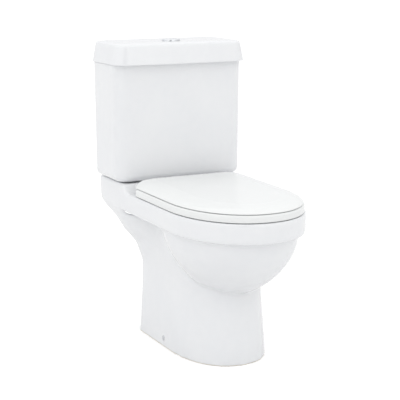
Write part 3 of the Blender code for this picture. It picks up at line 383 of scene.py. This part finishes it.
def foot_plan(half, flare, rear, front, wall=0.0):
    """The foot's plan: a round front, and sides that flare out towards the back."""
    straight = front - 0.182
    left = []
    for i in range(28):
        d = rear + (straight - rear) * i / 28
        share = min(max((0.270 - d) / 0.150, 0), 1)
        left.append((-(half - wall + flare * 0.0505 * share * share * (3 - 2 * share)), d))
    return left + nose_arc(half - wall, straight, front - wall, 2.2, 64) + mirrored(left)


def bowl_levels(wall, top):
    """The bowl from its bottom up to the given height, with the given wall taken off."""
    levels = []
    for share in [0.988 * math.cos(t) for t in quarter(22)]:
        side, tail = (1 - share**2) ** 0.5, (0.225 - wall) * (1 - share**2.2)
        plan = oval((0.156 - wall) * side, BOWL_PLACE, (0.208 - wall) * side, tail, 2.2 - 0.7 * share**1.5)
        levels.append((BAND_BOTTOM - share * (BOWL_DEPTH - wall), plan))
    return levels + [(top, levels[-1][1])]


def smooth_path(points, between=4):
    """A smooth curve through (distance, height) points."""
    at = np.linspace(0, len(points) - 1, between * (len(points) - 1) + 1)
    padded = np.array([points[0], *points, points[-1]], float)
    i = np.clip(at.astype(int), 0, len(points) - 2)
    t = (at - i)[:, None]
    a, b, c, d = (padded[i + k] for k in range(4))
    curve = 2 * b + (c - a) * t + (2 * a - 5 * b + 4 * c - d) * t**2 + (3 * b - a - 3 * c + d) * t**3
    return [tuple(p) for p in curve / 2]


def foot_levels():
    """The foot's levels, read off closely enough to be smooth."""
    heights = np.array([level[0] for level in FOOT_LEVELS])
    sizes = np.array([level[1:] for level in FOOT_LEVELS])
    steps = np.concatenate([np.linspace(0, 0.2, 12)[:-1], np.linspace(0.2, 0.342, 30)])
    return [(z, *values) for z, values in zip(steps, eased(heights, sizes, steps))]


def form_deck():
    """The rim's band and the platform: one horseshoe, stepped down in front of the cistern."""
    rise, rear, turn_in = 0.024, 0.0015, 0.010
    shares = [0, 0.002, 0.008, 0.018, rise]
    insets = [[0.0015, 0.022], [0, 0.015], [0, 0.007], [0, 0.001], [0, 0]]
    heights = np.linspace(0, rise, 13)
    band = []
    for z, (inset, short) in zip(heights, eased(shares, insets, heights)):
        band.append((BAND_BOTTOM + z, horseshoe(inset, rear + short, turn_in)))
    for below, inset in ((0.002, 0), (0, 0.002)):
        band.append((PLATFORM_TOP - below, horseshoe(inset, rear + inset, turn_in - inset)))
    deck, over = loft("pan", band), PLATFORM_TOP + PAST
    profile = [(PLATFORM_FRONT, over)]
    for t in quarter(16):
        place = PLATFORM_FRONT + PLATFORM_ROUND * (1 - math.cos(t))
        profile.append((place, RIM_TOP + PLATFORM_ROUND * (1 - math.sin(t))))
    profile += [(RIM_FRONT + 0.05, RIM_TOP), (RIM_FRONT + 0.05, over)]
    return cut(deck, skin("step", [[(x, WALL - d, z) for d, z in profile] for x in (-0.25, 0.25)]))


def add_foot(pan):
    """Joins the foot on, then hollows it and the deck from below, open at the back."""
    foot = foot_levels()
    join(pan, loft("foot", [(z, foot_plan(*values)) for z, *values in foot]))
    z, half, *top = foot[-1]
    join(pan, loft("foot", [(z - 0.003, foot_plan(half - 0.0003, *top)), (z + CHINA, foot_plan(half, *top))]))

    back = -0.03
    hollow = [(-PAST, foot_plan(FOOT_HALF, 0, back, FOOT_FRONT, CHINA))]
    hollow += [(z, foot_plan(half, flare, back, front, CHINA)) for z, half, flare, _, front in foot]
    cut(pan, loft("hollow", hollow))
    deck = [(-0.1629, back), (-0.1629, HINGE_PLACE + 0.018), (-0.1509, HINGE_PLACE + 0.030)]
    under = [(-0.1599, back), (-0.1599, PLATFORM_FRONT - 0.009)]
    for outline, low, high in (
        (deck, foot[-1][0] - 0.004, DECK_UNDER),
        (under, DECK_UNDER - 0.006, PLATFORM_TOP - 0.016),
    ):
        cut(pan, loft("hollow", [(level, outline + mirrored(outline)) for level in (low, high)]))


def add_waterways(pan):
    """The bowl's shell, the trap behind it, the flush passage under the deck and the well for the gasket."""
    dip = BAND_BOTTOM - BOWL_DEPTH - 0.0635
    bends = [(0.455, 0.2150), (0.436, 0.1600), (0.395, dip + 0.012), (0.345, dip), (0.295, dip + 0.028)]
    bends += [(0.260, (dip + 0.224) / 2 + 0.024), (0.222, 0.224), (0.184, 0.214), (0.150, 0.189)]
    trap = smooth_path(bends) + [(0.120, OUTLET_HEIGHT), (0.060, OUTLET_HEIGHT)]
    drop = smooth_path([(0.105, 0.392), (0.118, 0.368), (0.160, 0.357), (0.262, 0.357)])
    join(pan, loft("bowl", bowl_levels(0, DECK_UNDER + 0.004)))
    join(pan, pipe(trap, [0.046] * (len(trap) - 3) + [0.049, 0.051, 0.051]))
    join(pan, pipe(drop, [0.034] * len(drop)))
    join(pan, post(0.062, DECK_UNDER - 0.002, PLATFORM_TOP - 0.004, 0, VALVE_PLACE))
    opening = oval(0.130, BOWL_PLACE, 0.185, 0.168, 2.2)
    cut(pan, loft("bowl", bowl_levels(CHINA, DECK_UNDER)))
    cut(pan, loft("rim", [(DECK_UNDER - 0.008, opening), (RIM_TOP + PAST, opening)]))
    cut(pan, pipe(trap[:-1] + [(0.040, OUTLET_HEIGHT)], [0.036] * (len(trap) - 2) + [0.041] * 2))
    cut(pan, pipe(drop, [0.024] * len(drop)), post(0.030, DECK_UNDER, RIM_TOP + 0.008, 0, VALVE_PLACE))


def soften(pan):
    """The mould leaves no hard edges: the joins are softened most under the band and least at the foot."""
    remesh = pan.modifiers.new("remesh", "REMESH")
    remesh.mode, remesh.voxel_size = "VOXEL", GRAIN
    baked(pan)
    heights, shares = (0, 0.010, 0.03, 0.375, 0.392, 0.402), (0.12, 0.3, 1, 1, 0.5, 0.35)
    weights = np.interp(np.array([v.co for v in pan.data.vertices])[:, 2], heights, shares)
    group = pan.vertex_groups.new(name="soft")
    for i, weight in enumerate(weights):
        group.add([i], float(weight), "REPLACE")
    smooth = pan.modifiers.new("soften", "SMOOTH")
    smooth.factor, smooth.iterations, smooth.vertex_group = 0.5, 14, "soft"
    baked(pan)
    pan.vertex_groups.clear()


def drill(pan):
    """The well, and the holes for the fill valve, the coupling bolts, the hinges and the floor fixing."""
    low, over = DECK_UNDER - 0.01, PLATFORM_TOP + PAST
    cut(pan, post(0.052, RIM_TOP - 0.002, over, 0, VALVE_PLACE), post(0.024, low, over, INLET_X, INLET_PLACE))
    for side in (-1, 1):
        for x, place in ((BOLT_X, VALVE_PLACE), (HINGE_X, HINGE_PLACE)):
            cut(pan, post(FIXING_HOLE, low, over, side * x, place))
        for radius, depth in ((0.0033, 0.03), (0.0075, 0.0085)):
            near, far = sorted((side * (FOOT_HALF - depth), side * (FOOT_HALF + depth)))
            cut(pan, lying_rod(radius, near, far, FIXING_PLACE, FIXING_HEIGHT))


def cast_pan():
    pan = form_deck()
    for stage in (add_foot, add_waterways, soften, drill):
        stage(pan)
    return pan


show(cast_pan(), "glazed_pan", glaze, "root", "white_glazed_china", "pan", sharp=60)

# ------------------------------------------------------------------ coupling
# A foam rubber gasket seals the flush valve's tail into the pan, and two steel bolts pull the cistern down
# on to it. Each has a rubber washer inside the cistern, and a soft washer and wing nut under the deck.

rubber, at = new_finish("moulded_rubber")
grain = at.noise(900.0, 3.0)
settle(
    rubber,
    Base_Color=at.noise(60.0, 3.0).blend((0.014, 0.014, 0.015, 1), (0.040, 0.039, 0.038, 1)),
    Roughness=0.55 + grain * 0.25,
    Normal=grain.bump(0.00008),
)
steel, at = new_finish("drawn_steel")
scratched = at.noise(700.0, 4.0, 0.7)
settle(
    steel,
    Base_Color=at.noise(45.0, 2.0).blend((0.46, 0.46, 0.47, 1), (0.58, 0.58, 0.57, 1)),
    Metallic=1.0,
    Roughness=0.22 + scratched * 0.20,
    Normal=scratched.bump(0.00003),
)
nylon, at = new_finish("nylon")
settle(
    nylon,
    Base_Color=at.noise(30.0, 2.0).blend((0.60, 0.60, 0.57, 1), (0.66, 0.66, 0.63, 1)),
    Roughness=0.36 + at.noise(120.0, 2.0) * 0.14,
    Normal=at.noise(500.0, 2.0).bump(0.00005),
)


def dress(finish, *names):
    """Gives the frame's own nodes a finish."""
    for name in names:
        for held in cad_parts[name].material_slots:
            held.material = finish


def both(*names):
    return [f"{name}_{side}" for name in names for side in ("left", "right")]


dress(rubber, "coupling_gasket", *both("coupling_seal", "coupling_washer"))
dress(steel, *both("coupling_bolt"))
dress(nylon, *both("coupling_wing_nut"))

# ------------------------------------------------------------------ cistern
# The tank is slip cast china too, a tapering box with round corners and a front that bows out a little.
# It stands a hair above the pan's platform on its gasket, and two holes in its back take wall screws.

TANK_BOTTOM, TANK_TOP = (corner_point.z for corner_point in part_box("cistern_tank"))
TANK_HALF_FOOT, TANK_HALF_TOP = 0.1875, 0.1905
TANK_INSIDE = TANK_BOTTOM + 0.012
TANK_WALL = 0.010
ARC = quarter(12)


def cistern_plan(half, rear, front, front_corner, rear_corner):
    """A rectangle with round corners and a front that bows out towards its middle."""
    left = corner(half, rear, rear_corner, 12)
    side = front - front_corner
    left += [(-half, left[-1][1] + (side - left[-1][1]) * i / 8) for i in range(1, 8)]
    left += [(-(half - front_corner * (1 - math.cos(t))), side + front_corner * math.sin(t)) for t in ARC]
    left += [(-(half - front_corner) * (1 - i / 12), front) for i in range(1, 12)]
    points = left + [(0, front)] + mirrored(left)
    middle = (rear + front) / 2
    return [(x, d - 0.005 * (x / half) ** 2 if d > middle else d) for x, d in points]


def tank_plan(half, inset=0.0):
    corners = max(0.035 - inset, 0.006), max(0.020 - inset, 0.003)
    return cistern_plan(half - inset, 0.0015 + inset, 0.175 - inset, *corners)


def cast_tank():
    """One shell: up the outside from the underside, over the round rim and down to the inside floor."""
    def half_at(z):
        spread = TANK_HALF_TOP - TANK_HALF_FOOT
        return TANK_HALF_FOOT + spread * (z - TANK_BOTTOM) / (TANK_TOP - TANK_BOTTOM)

    lip = 0.0022
    path = [(TANK_BOTTOM + 0.018 * (1 - math.cos(t)), 0.018 * (1 - math.sin(t))) for t in ARC]
    path += [(z, 0) for z in np.linspace(TANK_BOTTOM + 0.03, TANK_TOP - lip - 0.004, 14)]
    path += [(TANK_TOP - lip * (1 - math.sin(t)), lip * (1 - math.cos(t))) for t in ARC[::2]]
    path += [(TANK_TOP - lip * (1 - math.cos(t)), TANK_WALL - lip * (1 - math.sin(t))) for t in ARC[::2]]
    path += [(z, TANK_WALL) for z in np.linspace(TANK_TOP - lip - 0.004, TANK_INSIDE + 0.014, 14)]
    path += [(TANK_INSIDE + 0.010 * (1 - math.sin(t)), TANK_WALL + 0.010 * (1 - math.cos(t))) for t in ARC]
    tank = loft("tank", [(z, tank_plan(half_at(z), inset)) for z, inset in path])
    low, high = TANK_BOTTOM - 0.01, TANK_INSIDE + 0.01
    cut(tank, post(0.031, low, high, 0, VALVE_PLACE), post(0.0115, low, high, INLET_X, INLET_PLACE))
    screw, drop = 0.004, TANK_TOP - 0.0377
    for side in (-1, 1):
        cut(tank, post(0.005, low, high, side * BOLT_X, VALVE_PLACE))
        ring = [(side * 0.120 + screw * math.cos(t), drop + screw * math.sin(t)) for t in circle(24)]
        cut(tank, skin("hole", [[(x, WALL - d, z) for x, z in ring] for d in (-0.01, 0.02)]))
    return tank


show(cast_tank(), "glazed_cistern", glaze, "root", "white_glazed_china", "cistern_tank")

# ------------------------------------------------------------------ cistern lid
# A loose china lid overhangs the tank. Its sides lean in to a softly rounded top edge, and a rib under it
# drops inside the tank's rim to keep it in place. The push button comes up through a hole in its top.

LID_BOTTOM = TANK_TOP + 0.0003
LID_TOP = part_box("cistern_lid")[1].z
LID_HALF = 0.194


def cast_lid():
    """One shell, from the ceiling of its hollow down round the rib and up over the outside to the top."""
    def inner(z, inset):
        return (z, tank_plan(TANK_HALF_TOP, inset))

    def outer(rise, inset):
        edges = LID_HALF - inset, 0.3 * inset, LID_HALF - inset
        return (LID_BOTTOM + rise, cistern_plan(*edges, 0.037 - inset / 2, 0.020))

    skirt, rib, low = 0.0175, 0.0115, LID_BOTTOM - 0.006
    ceiling = LID_TOP - 0.012
    levels = []
    for t in ARC:
        levels.append(inner(ceiling - 0.008 * (1 - math.cos(t)), skirt + 0.003 + 0.008 * (1 - math.sin(t))))
    levels += [inner(z, skirt) for z in (LID_BOTTOM + 0.020, LID_BOTTOM, low + 0.001)]
    levels += [inner(low + 0.001 * (1 - math.sin(t)), skirt - 0.001 * (1 - math.cos(t))) for t in ARC[4::4]]
    levels += [inner(low + 0.001 * (1 - math.cos(t)), rib + 0.001 * (1 - math.sin(t))) for t in ARC[4::4]]
    levels += [inner(LID_BOTTOM, rib)]
    levels += [outer(0.0018 * (1 - math.sin(t)), 0.0018 * (1 - math.cos(t))) for t in reversed(ARC[:-1:2])]
    rises = np.linspace(0.0018, 0.044, 9)
    lean = eased([0.0018, 0.044], [[0.0], [0.0072]], rises)
    levels += [outer(rise, inset[0]) for rise, inset in zip(rises[1:], lean[1:])]
    crown = eased(
        [0, 0.3, 0.55, 0.8, 1],
        [[0.044, 0.0072], [0.0490, 0.0085], [0.0530, 0.0112], [0.0551, 0.0158], [0.056, 0.0215]],
        np.linspace(0, 1, 16),
    )
    levels += [outer(rise, inset) for rise, inset in crown[1:]]
    lid = loft("lid", levels)
    return cut(lid, post(0.0255, ceiling - 0.02, LID_TOP + 0.01, 0, VALVE_PLACE, 96))


show(cast_lid(), "glazed_cistern_lid", glaze, "cistern_lid", "white_glazed_china", "cistern_lid")

# ------------------------------------------------------------------ push button
# A chromed plastic bezel stands on the lid, clamped by a nut from below. In it are two half round buttons,
# one for a full and one for a half flush, each pushing a rod that reaches down to the flush valve.

BEZEL_RADIUS, BUTTON_RADIUS = 0.0245, 0.020
BUTTON_EDGE, BUTTON_GAP = 0.0009, 0.0004

chrome, at = new_finish("chrome_plate")
haze = at.noise(220.0, 3.0)
settle(
    chrome,
    Base_Color=at.noise(35.0, 2.0).blend((0.70, 0.72, 0.75, 1), (0.77, 0.78, 0.80, 1)),
    Metallic=1.0,
    Roughness=0.045 + haze * 0.05,
    Normal=at.noise(90.0, 1.0).bump(0.00002),
)


def turned(name, profile, x=0.0, place=VALVE_PLACE, steps=96):
    """A ring turned about an upright axis from a closed loop of (radius, height) points."""
    shape = bmesh.new()
    rings = []
    for radius, z in profile:
        ring = [(x + radius * math.sin(t), WALL - place + radius * math.cos(t), z) for t in circle(steps)]
        rings.append([shape.verts.new(point) for point in ring])
    for lower, upper in zip(rings, rings[1:] + rings[:1]):
        for i in range(steps):
            j = (i + 1) % steps
            shape.faces.new((lower[i], lower[j], upper[j], upper[i]))
    bmesh.ops.recalc_face_normals(shape, faces=shape.faces)
    made = solid(name, [], [])
    shape.to_mesh(made.data)
    shape.free()
    return made


def rounded(radius, z, size, start, end, steps=6):
    """Points of a quarter round, about a centre at (radius, z), between two angles in degrees."""
    turns = [math.radians(start + (end - start) * i / steps) for i in range(steps + 1)]
    return [(radius + size * math.cos(t), z + size * math.sin(t)) for t in turns]


def make_button():
    low, top = (corner_point.z for corner_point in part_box("button_bezel"))
    seat = top - 0.0042
    bezel = [(0.0204, low), (0.0225, low), (0.0225, seat), (BEZEL_RADIUS, seat)]
    bezel += rounded(BEZEL_RADIUS - 0.0022, top - 0.0022, 0.0022, 0, 90, 10)
    bezel += rounded(0.0214, top - 0.0010, 0.0010, 90, 180, 8)
    show(turned("bezel", bezel), "bezel", chrome, "cistern_lid", "chrome", "button_bezel")
    for name, side in (("full_flush", 1), ("half_flush", -1)):
        bottom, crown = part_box(f"{name}_button")
        levels = [(bottom.z, 0.0)]
        for t in quarter(8):
            levels.append((crown.z - BUTTON_EDGE * (1 - math.sin(t)), BUTTON_EDGE * (1 - math.cos(t))))
        rings = []
        for z, inset in levels:
            radius, flat = BUTTON_RADIUS - inset, BUTTON_GAP + inset
            reach = math.acos(flat / radius)
            turns = [-reach + 2 * reach * i / 48 for i in range(49)]
            arc = [(side * radius * math.cos(t), VALVE_PLACE + radius * math.sin(t)) for t in turns]
            edge = [(side * flat, arc[-1][1] + (arc[0][1] - arc[-1][1]) * i / 16) for i in range(1, 16)]
            rings.append([(x, WALL - d, z) for x, d in arc + edge])
        show(skin(name, rings), f"{name}_half_button", chrome, f"{name}_button", "chrome", f"{name}_button")


make_button()

# ------------------------------------------------------------------ flush valve and its rods
# The valve is moulded in pale plastic: a flanged shank through the tank's floor, a slotted tower over it and
# an overflow tube that lifts with the seal. The rods under the buttons reach into the tower's top.

moulding, at = new_finish("pale_moulding")
flow = at.noise(22.0, 3.0)
settle(
    moulding,
    Base_Color=flow.blend((0.66, 0.66, 0.63, 1), (0.74, 0.74, 0.71, 1)),
    Roughness=0.34 + flow * 0.16,
    Normal=at.noise(420.0, 2.0).bump(0.00005),
)
dress(moulding, "flush_valve_base", "flush_valve_backnut", "flush_valve_tower", "overflow_tube")
dress(moulding, "button_clamp_nut", "full_flush_rod", "half_flush_rod")
dress(rubber, "flush_valve_washer", "flush_seal")

# ------------------------------------------------------------------ fill valve
# A side fill valve stands in the tank's floor beside the flush valve. A blue float rides on its riser, and
# lifts an arm on the valve's head that shuts the water off.

float_blue, at = new_finish("float_blue")
flow = at.noise(26.0, 3.0)
settle(
    float_blue,
    Base_Color=flow.blend((0.050, 0.150, 0.340, 1), (0.075, 0.190, 0.400, 1)),
    Roughness=0.30 + flow * 0.18,
    Normal=at.noise(420.0, 2.0).bump(0.00005),
)
dress(moulding, "fill_valve_body", "fill_valve_backnut", "fill_valve_head")
dress(rubber, "fill_valve_washer")
dress(float_blue, "float_cup", "float_arm")
dress(steel, "float_arm_pin")

# ------------------------------------------------------------------ hinges
# Two chromed pillars stand on round cover discs at the back of the deck, bolted through the china. A steel
# pin through each pillar carries the seat ring and, outside it, the seat lid.

HINGE_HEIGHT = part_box("hinge_pin_left")[0].z + 0.0025
KNUCKLE, PIN_HOLE = 0.0065, 0.0028  # the radius of what turns on a pin, and of the hole in it


def make_hinge(label, side):
    x, base = side * HINGE_X, RIM_TOP + 0.0003
    pillar = lying_rod(KNUCKLE, x - 0.006, x + 0.006, HINGE_PLACE, HINGE_HEIGHT, 48)
    depth = HINGE_PLACE - 0.0064, HINGE_PLACE + 0.0064
    foot = block((x - 0.0059, x + 0.0059), depth, (base, HINGE_HEIGHT))
    join(pillar, foot, post(0.0075, base, base + 0.0042, x, HINGE_PLACE))
    join(pillar, post(0.004, RIM_TOP - 0.048, base + 0.004, x, HINGE_PLACE, 24))
    cut(pillar, lying_rod(PIN_HOLE, x - 0.02, x + 0.02, HINGE_PLACE, HINGE_HEIGHT, 24))
    bevel = pillar.modifiers.new("edge", "BEVEL")
    bevel.width, bevel.segments = 0.0006, 3
    bevel.limit_method, bevel.angle_limit = "ANGLE", math.radians(50)
    bevel.use_clamp_overlap = True
    baked(pillar)
    show(pillar, f"pillar_{label}", chrome, "root", "chrome", f"hinge_pillar_{label}", sharp=30)
    disc = [(0.0105, base), (0.018, base)] + rounded(0.0164, base + 0.0004, 0.0016, 0, 90, 8)
    show(
        turned("disc", disc + [(0.0105, base + 0.0020)], x, HINGE_PLACE),
        f"cover_disc_{label}", chrome, "root", "chrome", f"hinge_cover_{label}",
    )


for label, side in (("left", -1), ("right", 1)):
    make_hinge(label, side)
dress(steel, *both("hinge_pin"))
dress(rubber, *both("hinge_washer"))
dress(nylon, *both("hinge_wing_nut"))

# ------------------------------------------------------------------ seat ring
# The ring is pressed from white thermoset, dense and glossy, with a rounded edge inside and out. Two lugs
# at its back turn on the hinge pins, and four clear buffers under it rest on the rim.

SEAT_BOTTOM, SEAT_TOP = RIM_TOP + 0.002, RIM_TOP + 0.0205
HOLE_ROUND = 0.006

thermoset, at = new_finish("seat_thermoset")
cloud = at.noise(6.0, 2.0)
settle(
    thermoset,
    Base_Color=cloud.blend((0.785, 0.797, 0.797, 1), (0.800, 0.812, 0.810, 1)),
    Roughness=0.085 + at.noise(60.0, 2.0) * 0.045,
    Specular_IOR_Level=0.5,
    Normal=(at.noise(40.0, 1.0) * 0.7 + at.noise(240.0, 1.0) * 0.05).bump(0.00003),
)
clear_rubber, at = new_finish("clear_rubber")
settle(
    clear_rubber,
    Base_Color=at.noise(80.0, 2.0).blend((0.62, 0.63, 0.62, 1), (0.70, 0.71, 0.70, 1)),
    Roughness=0.32 + at.noise(160.0, 2.0) * 0.12,
    Normal=at.noise(350.0, 2.0).bump(0.00004),
)


def edge_path(low, high, lower, upper):
    """(height, inset) points of a thick edge with a round below and a larger round above."""
    below = [(low + lower * (1 - math.cos(t)), lower * (1 - math.sin(t))) for t in quarter(10)]
    return below + [(high - upper * (1 - math.sin(t)), upper * (1 - math.cos(t))) for t in quarter(10)]


def press_ring():
    levels = []
    for z, inset in edge_path(SEAT_BOTTOM, SEAT_TOP, 0.0015, 0.0050):
        levels.append((z, horseshoe(0.0035 + inset, 0.223 + inset, 0.032 - inset)))
    ring = loft("ring", levels)
    low, high = SEAT_BOTTOM - 0.01, SEAT_TOP + 0.01
    inner = [(SEAT_TOP - HOLE_ROUND * (1 - math.sin(t)), HOLE_ROUND * (1 - math.cos(t))) for t in ARC]
    hole = []
    for z, grow in [(low, 0.0), *inner, (high, HOLE_ROUND + 0.0005)]:
        hole.append((z, oval(0.112 + grow, BOWL_PLACE + 0.008, 0.150 + grow, 0.140 + grow, 2.15, 144)))
    cut(ring, loft("hole", hole))
    for side in (-1, 1):
        x = side * HINGE_X
        cut(ring, block((x - 0.020, x + 0.020), (0.20, HINGE_PLACE + 0.020), (low, high)))
        lug = sorted((x - side * 0.0066, x - side * 0.0266))
        join(ring, lying_rod(KNUCKLE, *lug, HINGE_PLACE, HINGE_HEIGHT, 48))
        hole = sorted((x - side * 0.005, x - side * 0.019))
        cut(ring, lying_rod(PIN_HOLE, *hole, HINGE_PLACE, HINGE_HEIGHT, 24))
        for across, place in ((0.090, 0.6185), (0.150, 0.320)):
            cut(ring, post(0.0083, low, SEAT_BOTTOM + 0.0037, side * across, place))
    return ring


show(press_ring(), "white_seat_ring", thermoset, "seat_ring", "seat_plastic", "seat_ring")
dress(clear_rubber, *both("ring_buffer_front", "ring_buffer_rear"))

# ------------------------------------------------------------------ seat lid
# The lid is a thin thermoset shell, a soft slope all round up to a nearly flat middle. It turns on the same
# pins, outside the ring's lugs, and two clear buffers under it rest on the ring.

LID_UNDER = SEAT_TOP + 0.0015
LID_THICKNESS = 0.0143
LID_RISE = 0.005  # the back of its top above the front
LID_REAR = 0.211


def seat_lid_levels(wall):
    """The thin edge, then the slope, which is steep at the back. A wall takes that much off the outside."""
    rise = [0.0, 0.001, 0.003, 0.006, 0.0086, 0.0104, 0.012, 0.0132, LID_THICKNESS]
    slope = [0.0008, 0.0, 0.002, 0.008, 0.016, 0.024, 0.034, 0.045, 0.058]
    along = np.arange(9.0)
    curve = eased(along, np.array([rise, slope]).T, np.linspace(0, 8, 49))
    levels = []
    for z, inset in curve:
        rear, inset = LID_REAR + wall + 0.2 * inset, inset + wall
        levels.append((LID_UNDER + z - wall, horseshoe(0.0068 + inset, rear, max(0.034 - inset, 0.006))))
    return levels


def tilted(shell):
    """Raises the top of a shell steadily towards its back."""
    for vertex in shell.data.vertices:
        share = (vertex.co.y - WALL + RIM_FRONT) / (RIM_FRONT - LID_REAR)
        vertex.co.z += LID_RISE * share * max((vertex.co.z - LID_UNDER) / LID_THICKNESS, 0)
    return shell


def press_lid():
    lid, hollow = tilted(loft("lid", seat_lid_levels(0))), seat_lid_levels(0.004)
    low, ceiling = LID_UNDER - 0.01, HINGE_HEIGHT + 0.0082
    cut(lid, tilted(loft("hollow", [(low, hollow[0][1]), *hollow[1:]])))
    cut(lid, block((-0.19, 0.19), (0.19, HINGE_PLACE - 0.002), (low, LID_UNDER + 0.0015)))
    for side in (-1, 1):
        x = side * HINGE_X
        cut(lid, block((x - 0.020, x + 0.020), (0.218, HINGE_PLACE + 0.015), (low, ceiling)))
        cut(lid, block((x - 0.009, x + 0.009), (0.19, HINGE_PLACE), (low, ceiling)))
        knuckle = x + side * 0.0126
        web = (knuckle - 0.0059, knuckle + 0.0059), (HINGE_PLACE - 0.006, HINGE_PLACE + 0.006)
        join(lid, block(*web, (HINGE_HEIGHT, LID_UNDER + LID_THICKNESS + 0.002)))
        join(lid, lying_rod(KNUCKLE, knuckle - 0.006, knuckle + 0.006, HINGE_PLACE, HINGE_HEIGHT, 48))
        cut(lid, lying_rod(PIN_HOLE, knuckle - 0.007, knuckle + 0.007, HINGE_PLACE, HINGE_HEIGHT, 24))
        join(lid, post(0.0085, LID_UNDER + 0.004, LID_UNDER + LID_THICKNESS - 0.0022, side * 0.105, 0.560))
    return lid


show(press_lid(), "white_seat_lid", thermoset, "seat_lid", "seat_plastic", "seat_lid")
dress(clear_rubber, *both("lid_buffer"))

# ------------------------------------------------------------------ floor fixing
# Low on each side of the foot a screw goes through the china into a bracket on the floor. A small chromed
# cap with a domed face covers its head.


def make_cap(label, side):
    low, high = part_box(f"screw_cap_{label}")
    face, back = (high.x, low.x) if side > 0 else (low.x, high.x)
    depth, radius, dome = abs(face - back), 0.007, 0.0016
    levels = [(0.0, radius), (depth - dome, radius)]
    for t in ARC[1:]:
        shrink = 0.0022 * (1 - math.cos(t)), 0.0028 * math.sin(t) ** 6
        levels.append((depth - dome * (1 - math.sin(t)), radius - shrink[0] - shrink[1]))
    rings = []
    for out, size in levels:
        x, y = back + side * out, WALL - FIXING_PLACE
        rings.append([(x, y + size * math.cos(t), FIXING_HEIGHT + size * math.sin(t)) for t in circle(48)])
    show(skin("cap", rings), f"fixing_cap_{label}", chrome, "root", "chrome", f"screw_cap_{label}")


for label, side in (("left", -1), ("right", 1)):
    make_cap(label, side)
dress(steel, *both("side_screw"))
dress(nylon, *both("floor_bracket"))

# ------------------------------------------------------------------ studio
# A plain pale floor in soft light from all round, brightest from the front and above. What the floor throws
# back up at the china comes from a second, duller floor that the eye does not see.


def lay_floor(name, height, tone, glow):
    corners = [(x, y, height) for x, y in ((-30, -30), (30, -30), (30, 30), (-30, 30))]
    laid = solid(name, corners, [(0, 1, 2, 3)])
    finish, at = new_finish(name)
    settle(
        finish,
        Base_Color=at.noise(3.0).blend((tone - 0.01,) * 3 + (1,), (tone + 0.01,) * 3 + (1,)),
        Roughness=0.9,
        Specular_IOR_Level=0.0,
        Emission_Color=(1, 1, 1, 1),
        Emission_Strength=glow,
    )
    laid.data.materials.append(finish)
    return laid


seen_floor = lay_floor("pale_floor", -0.0001, 0.91, 0.22)
bounce_floor = lay_floor("bounce_floor", -0.001, 0.84, 0.0)
seen_floor.visible_diffuse = seen_floor.visible_glossy = seen_floor.visible_shadow = False
bounce_floor.visible_camera = False

studio = bpy.data.worlds.new("studio")
studio.use_nodes = True
bpy.context.scene.world = studio
backdrop = studio.node_tree.nodes["Background"]
way = Wire(studio.node_tree.nodes.new("ShaderNodeTexCoord").outputs["Generated"])


def towards(*direction):
    """How far a direction is from this one: 1 along it and -1 against it."""
    direction = tuple(Vector(direction).normalized())
    return way.node("ShaderNodeVectorMath", {"operation": "DOT_PRODUCT"}, {0: way, 1: direction}, 1)


soft = towards(-0.10, -0.78, 0.60).step(-0.9, 0.9).blend((0.90, 0.905, 0.92, 1), (1.34, 1.34, 1.33, 1))
soft = (towards(1.0, -0.25, -0.1).step(0.3, 1.0) * 0.45).blend(soft, (0.50, 0.50, 0.51, 1))
soft = (towards(-0.45, -0.88, 0.25).step(0.93, 0.985) * 0.8).blend(soft, (0.10, 0.11, 0.14, 1))
seen = soft.node("ShaderNodeLightPath")
studio.node_tree.links.new(seen.blend(soft, (1.05, 1.05, 1.05, 1)).socket, backdrop.inputs["Color"])

bpy.context.scene.view_settings.view_transform = "Standard"

eye = bpy.data.cameras.new("camera")
eye.lens, eye.sensor_width = 106.51, 36.0
eye.clip_start, eye.clip_end = 0.05, 100.0
camera = bpy.data.objects.new("camera", eye)
camera.location = (-1.38379, -2.70041, 1.02213)
camera.rotation_euler = (math.radians(78.2986), 0, math.radians(-26.6527))
bpy.context.scene.collection.objects.link(camera)
bpy.context.scene.camera = camera
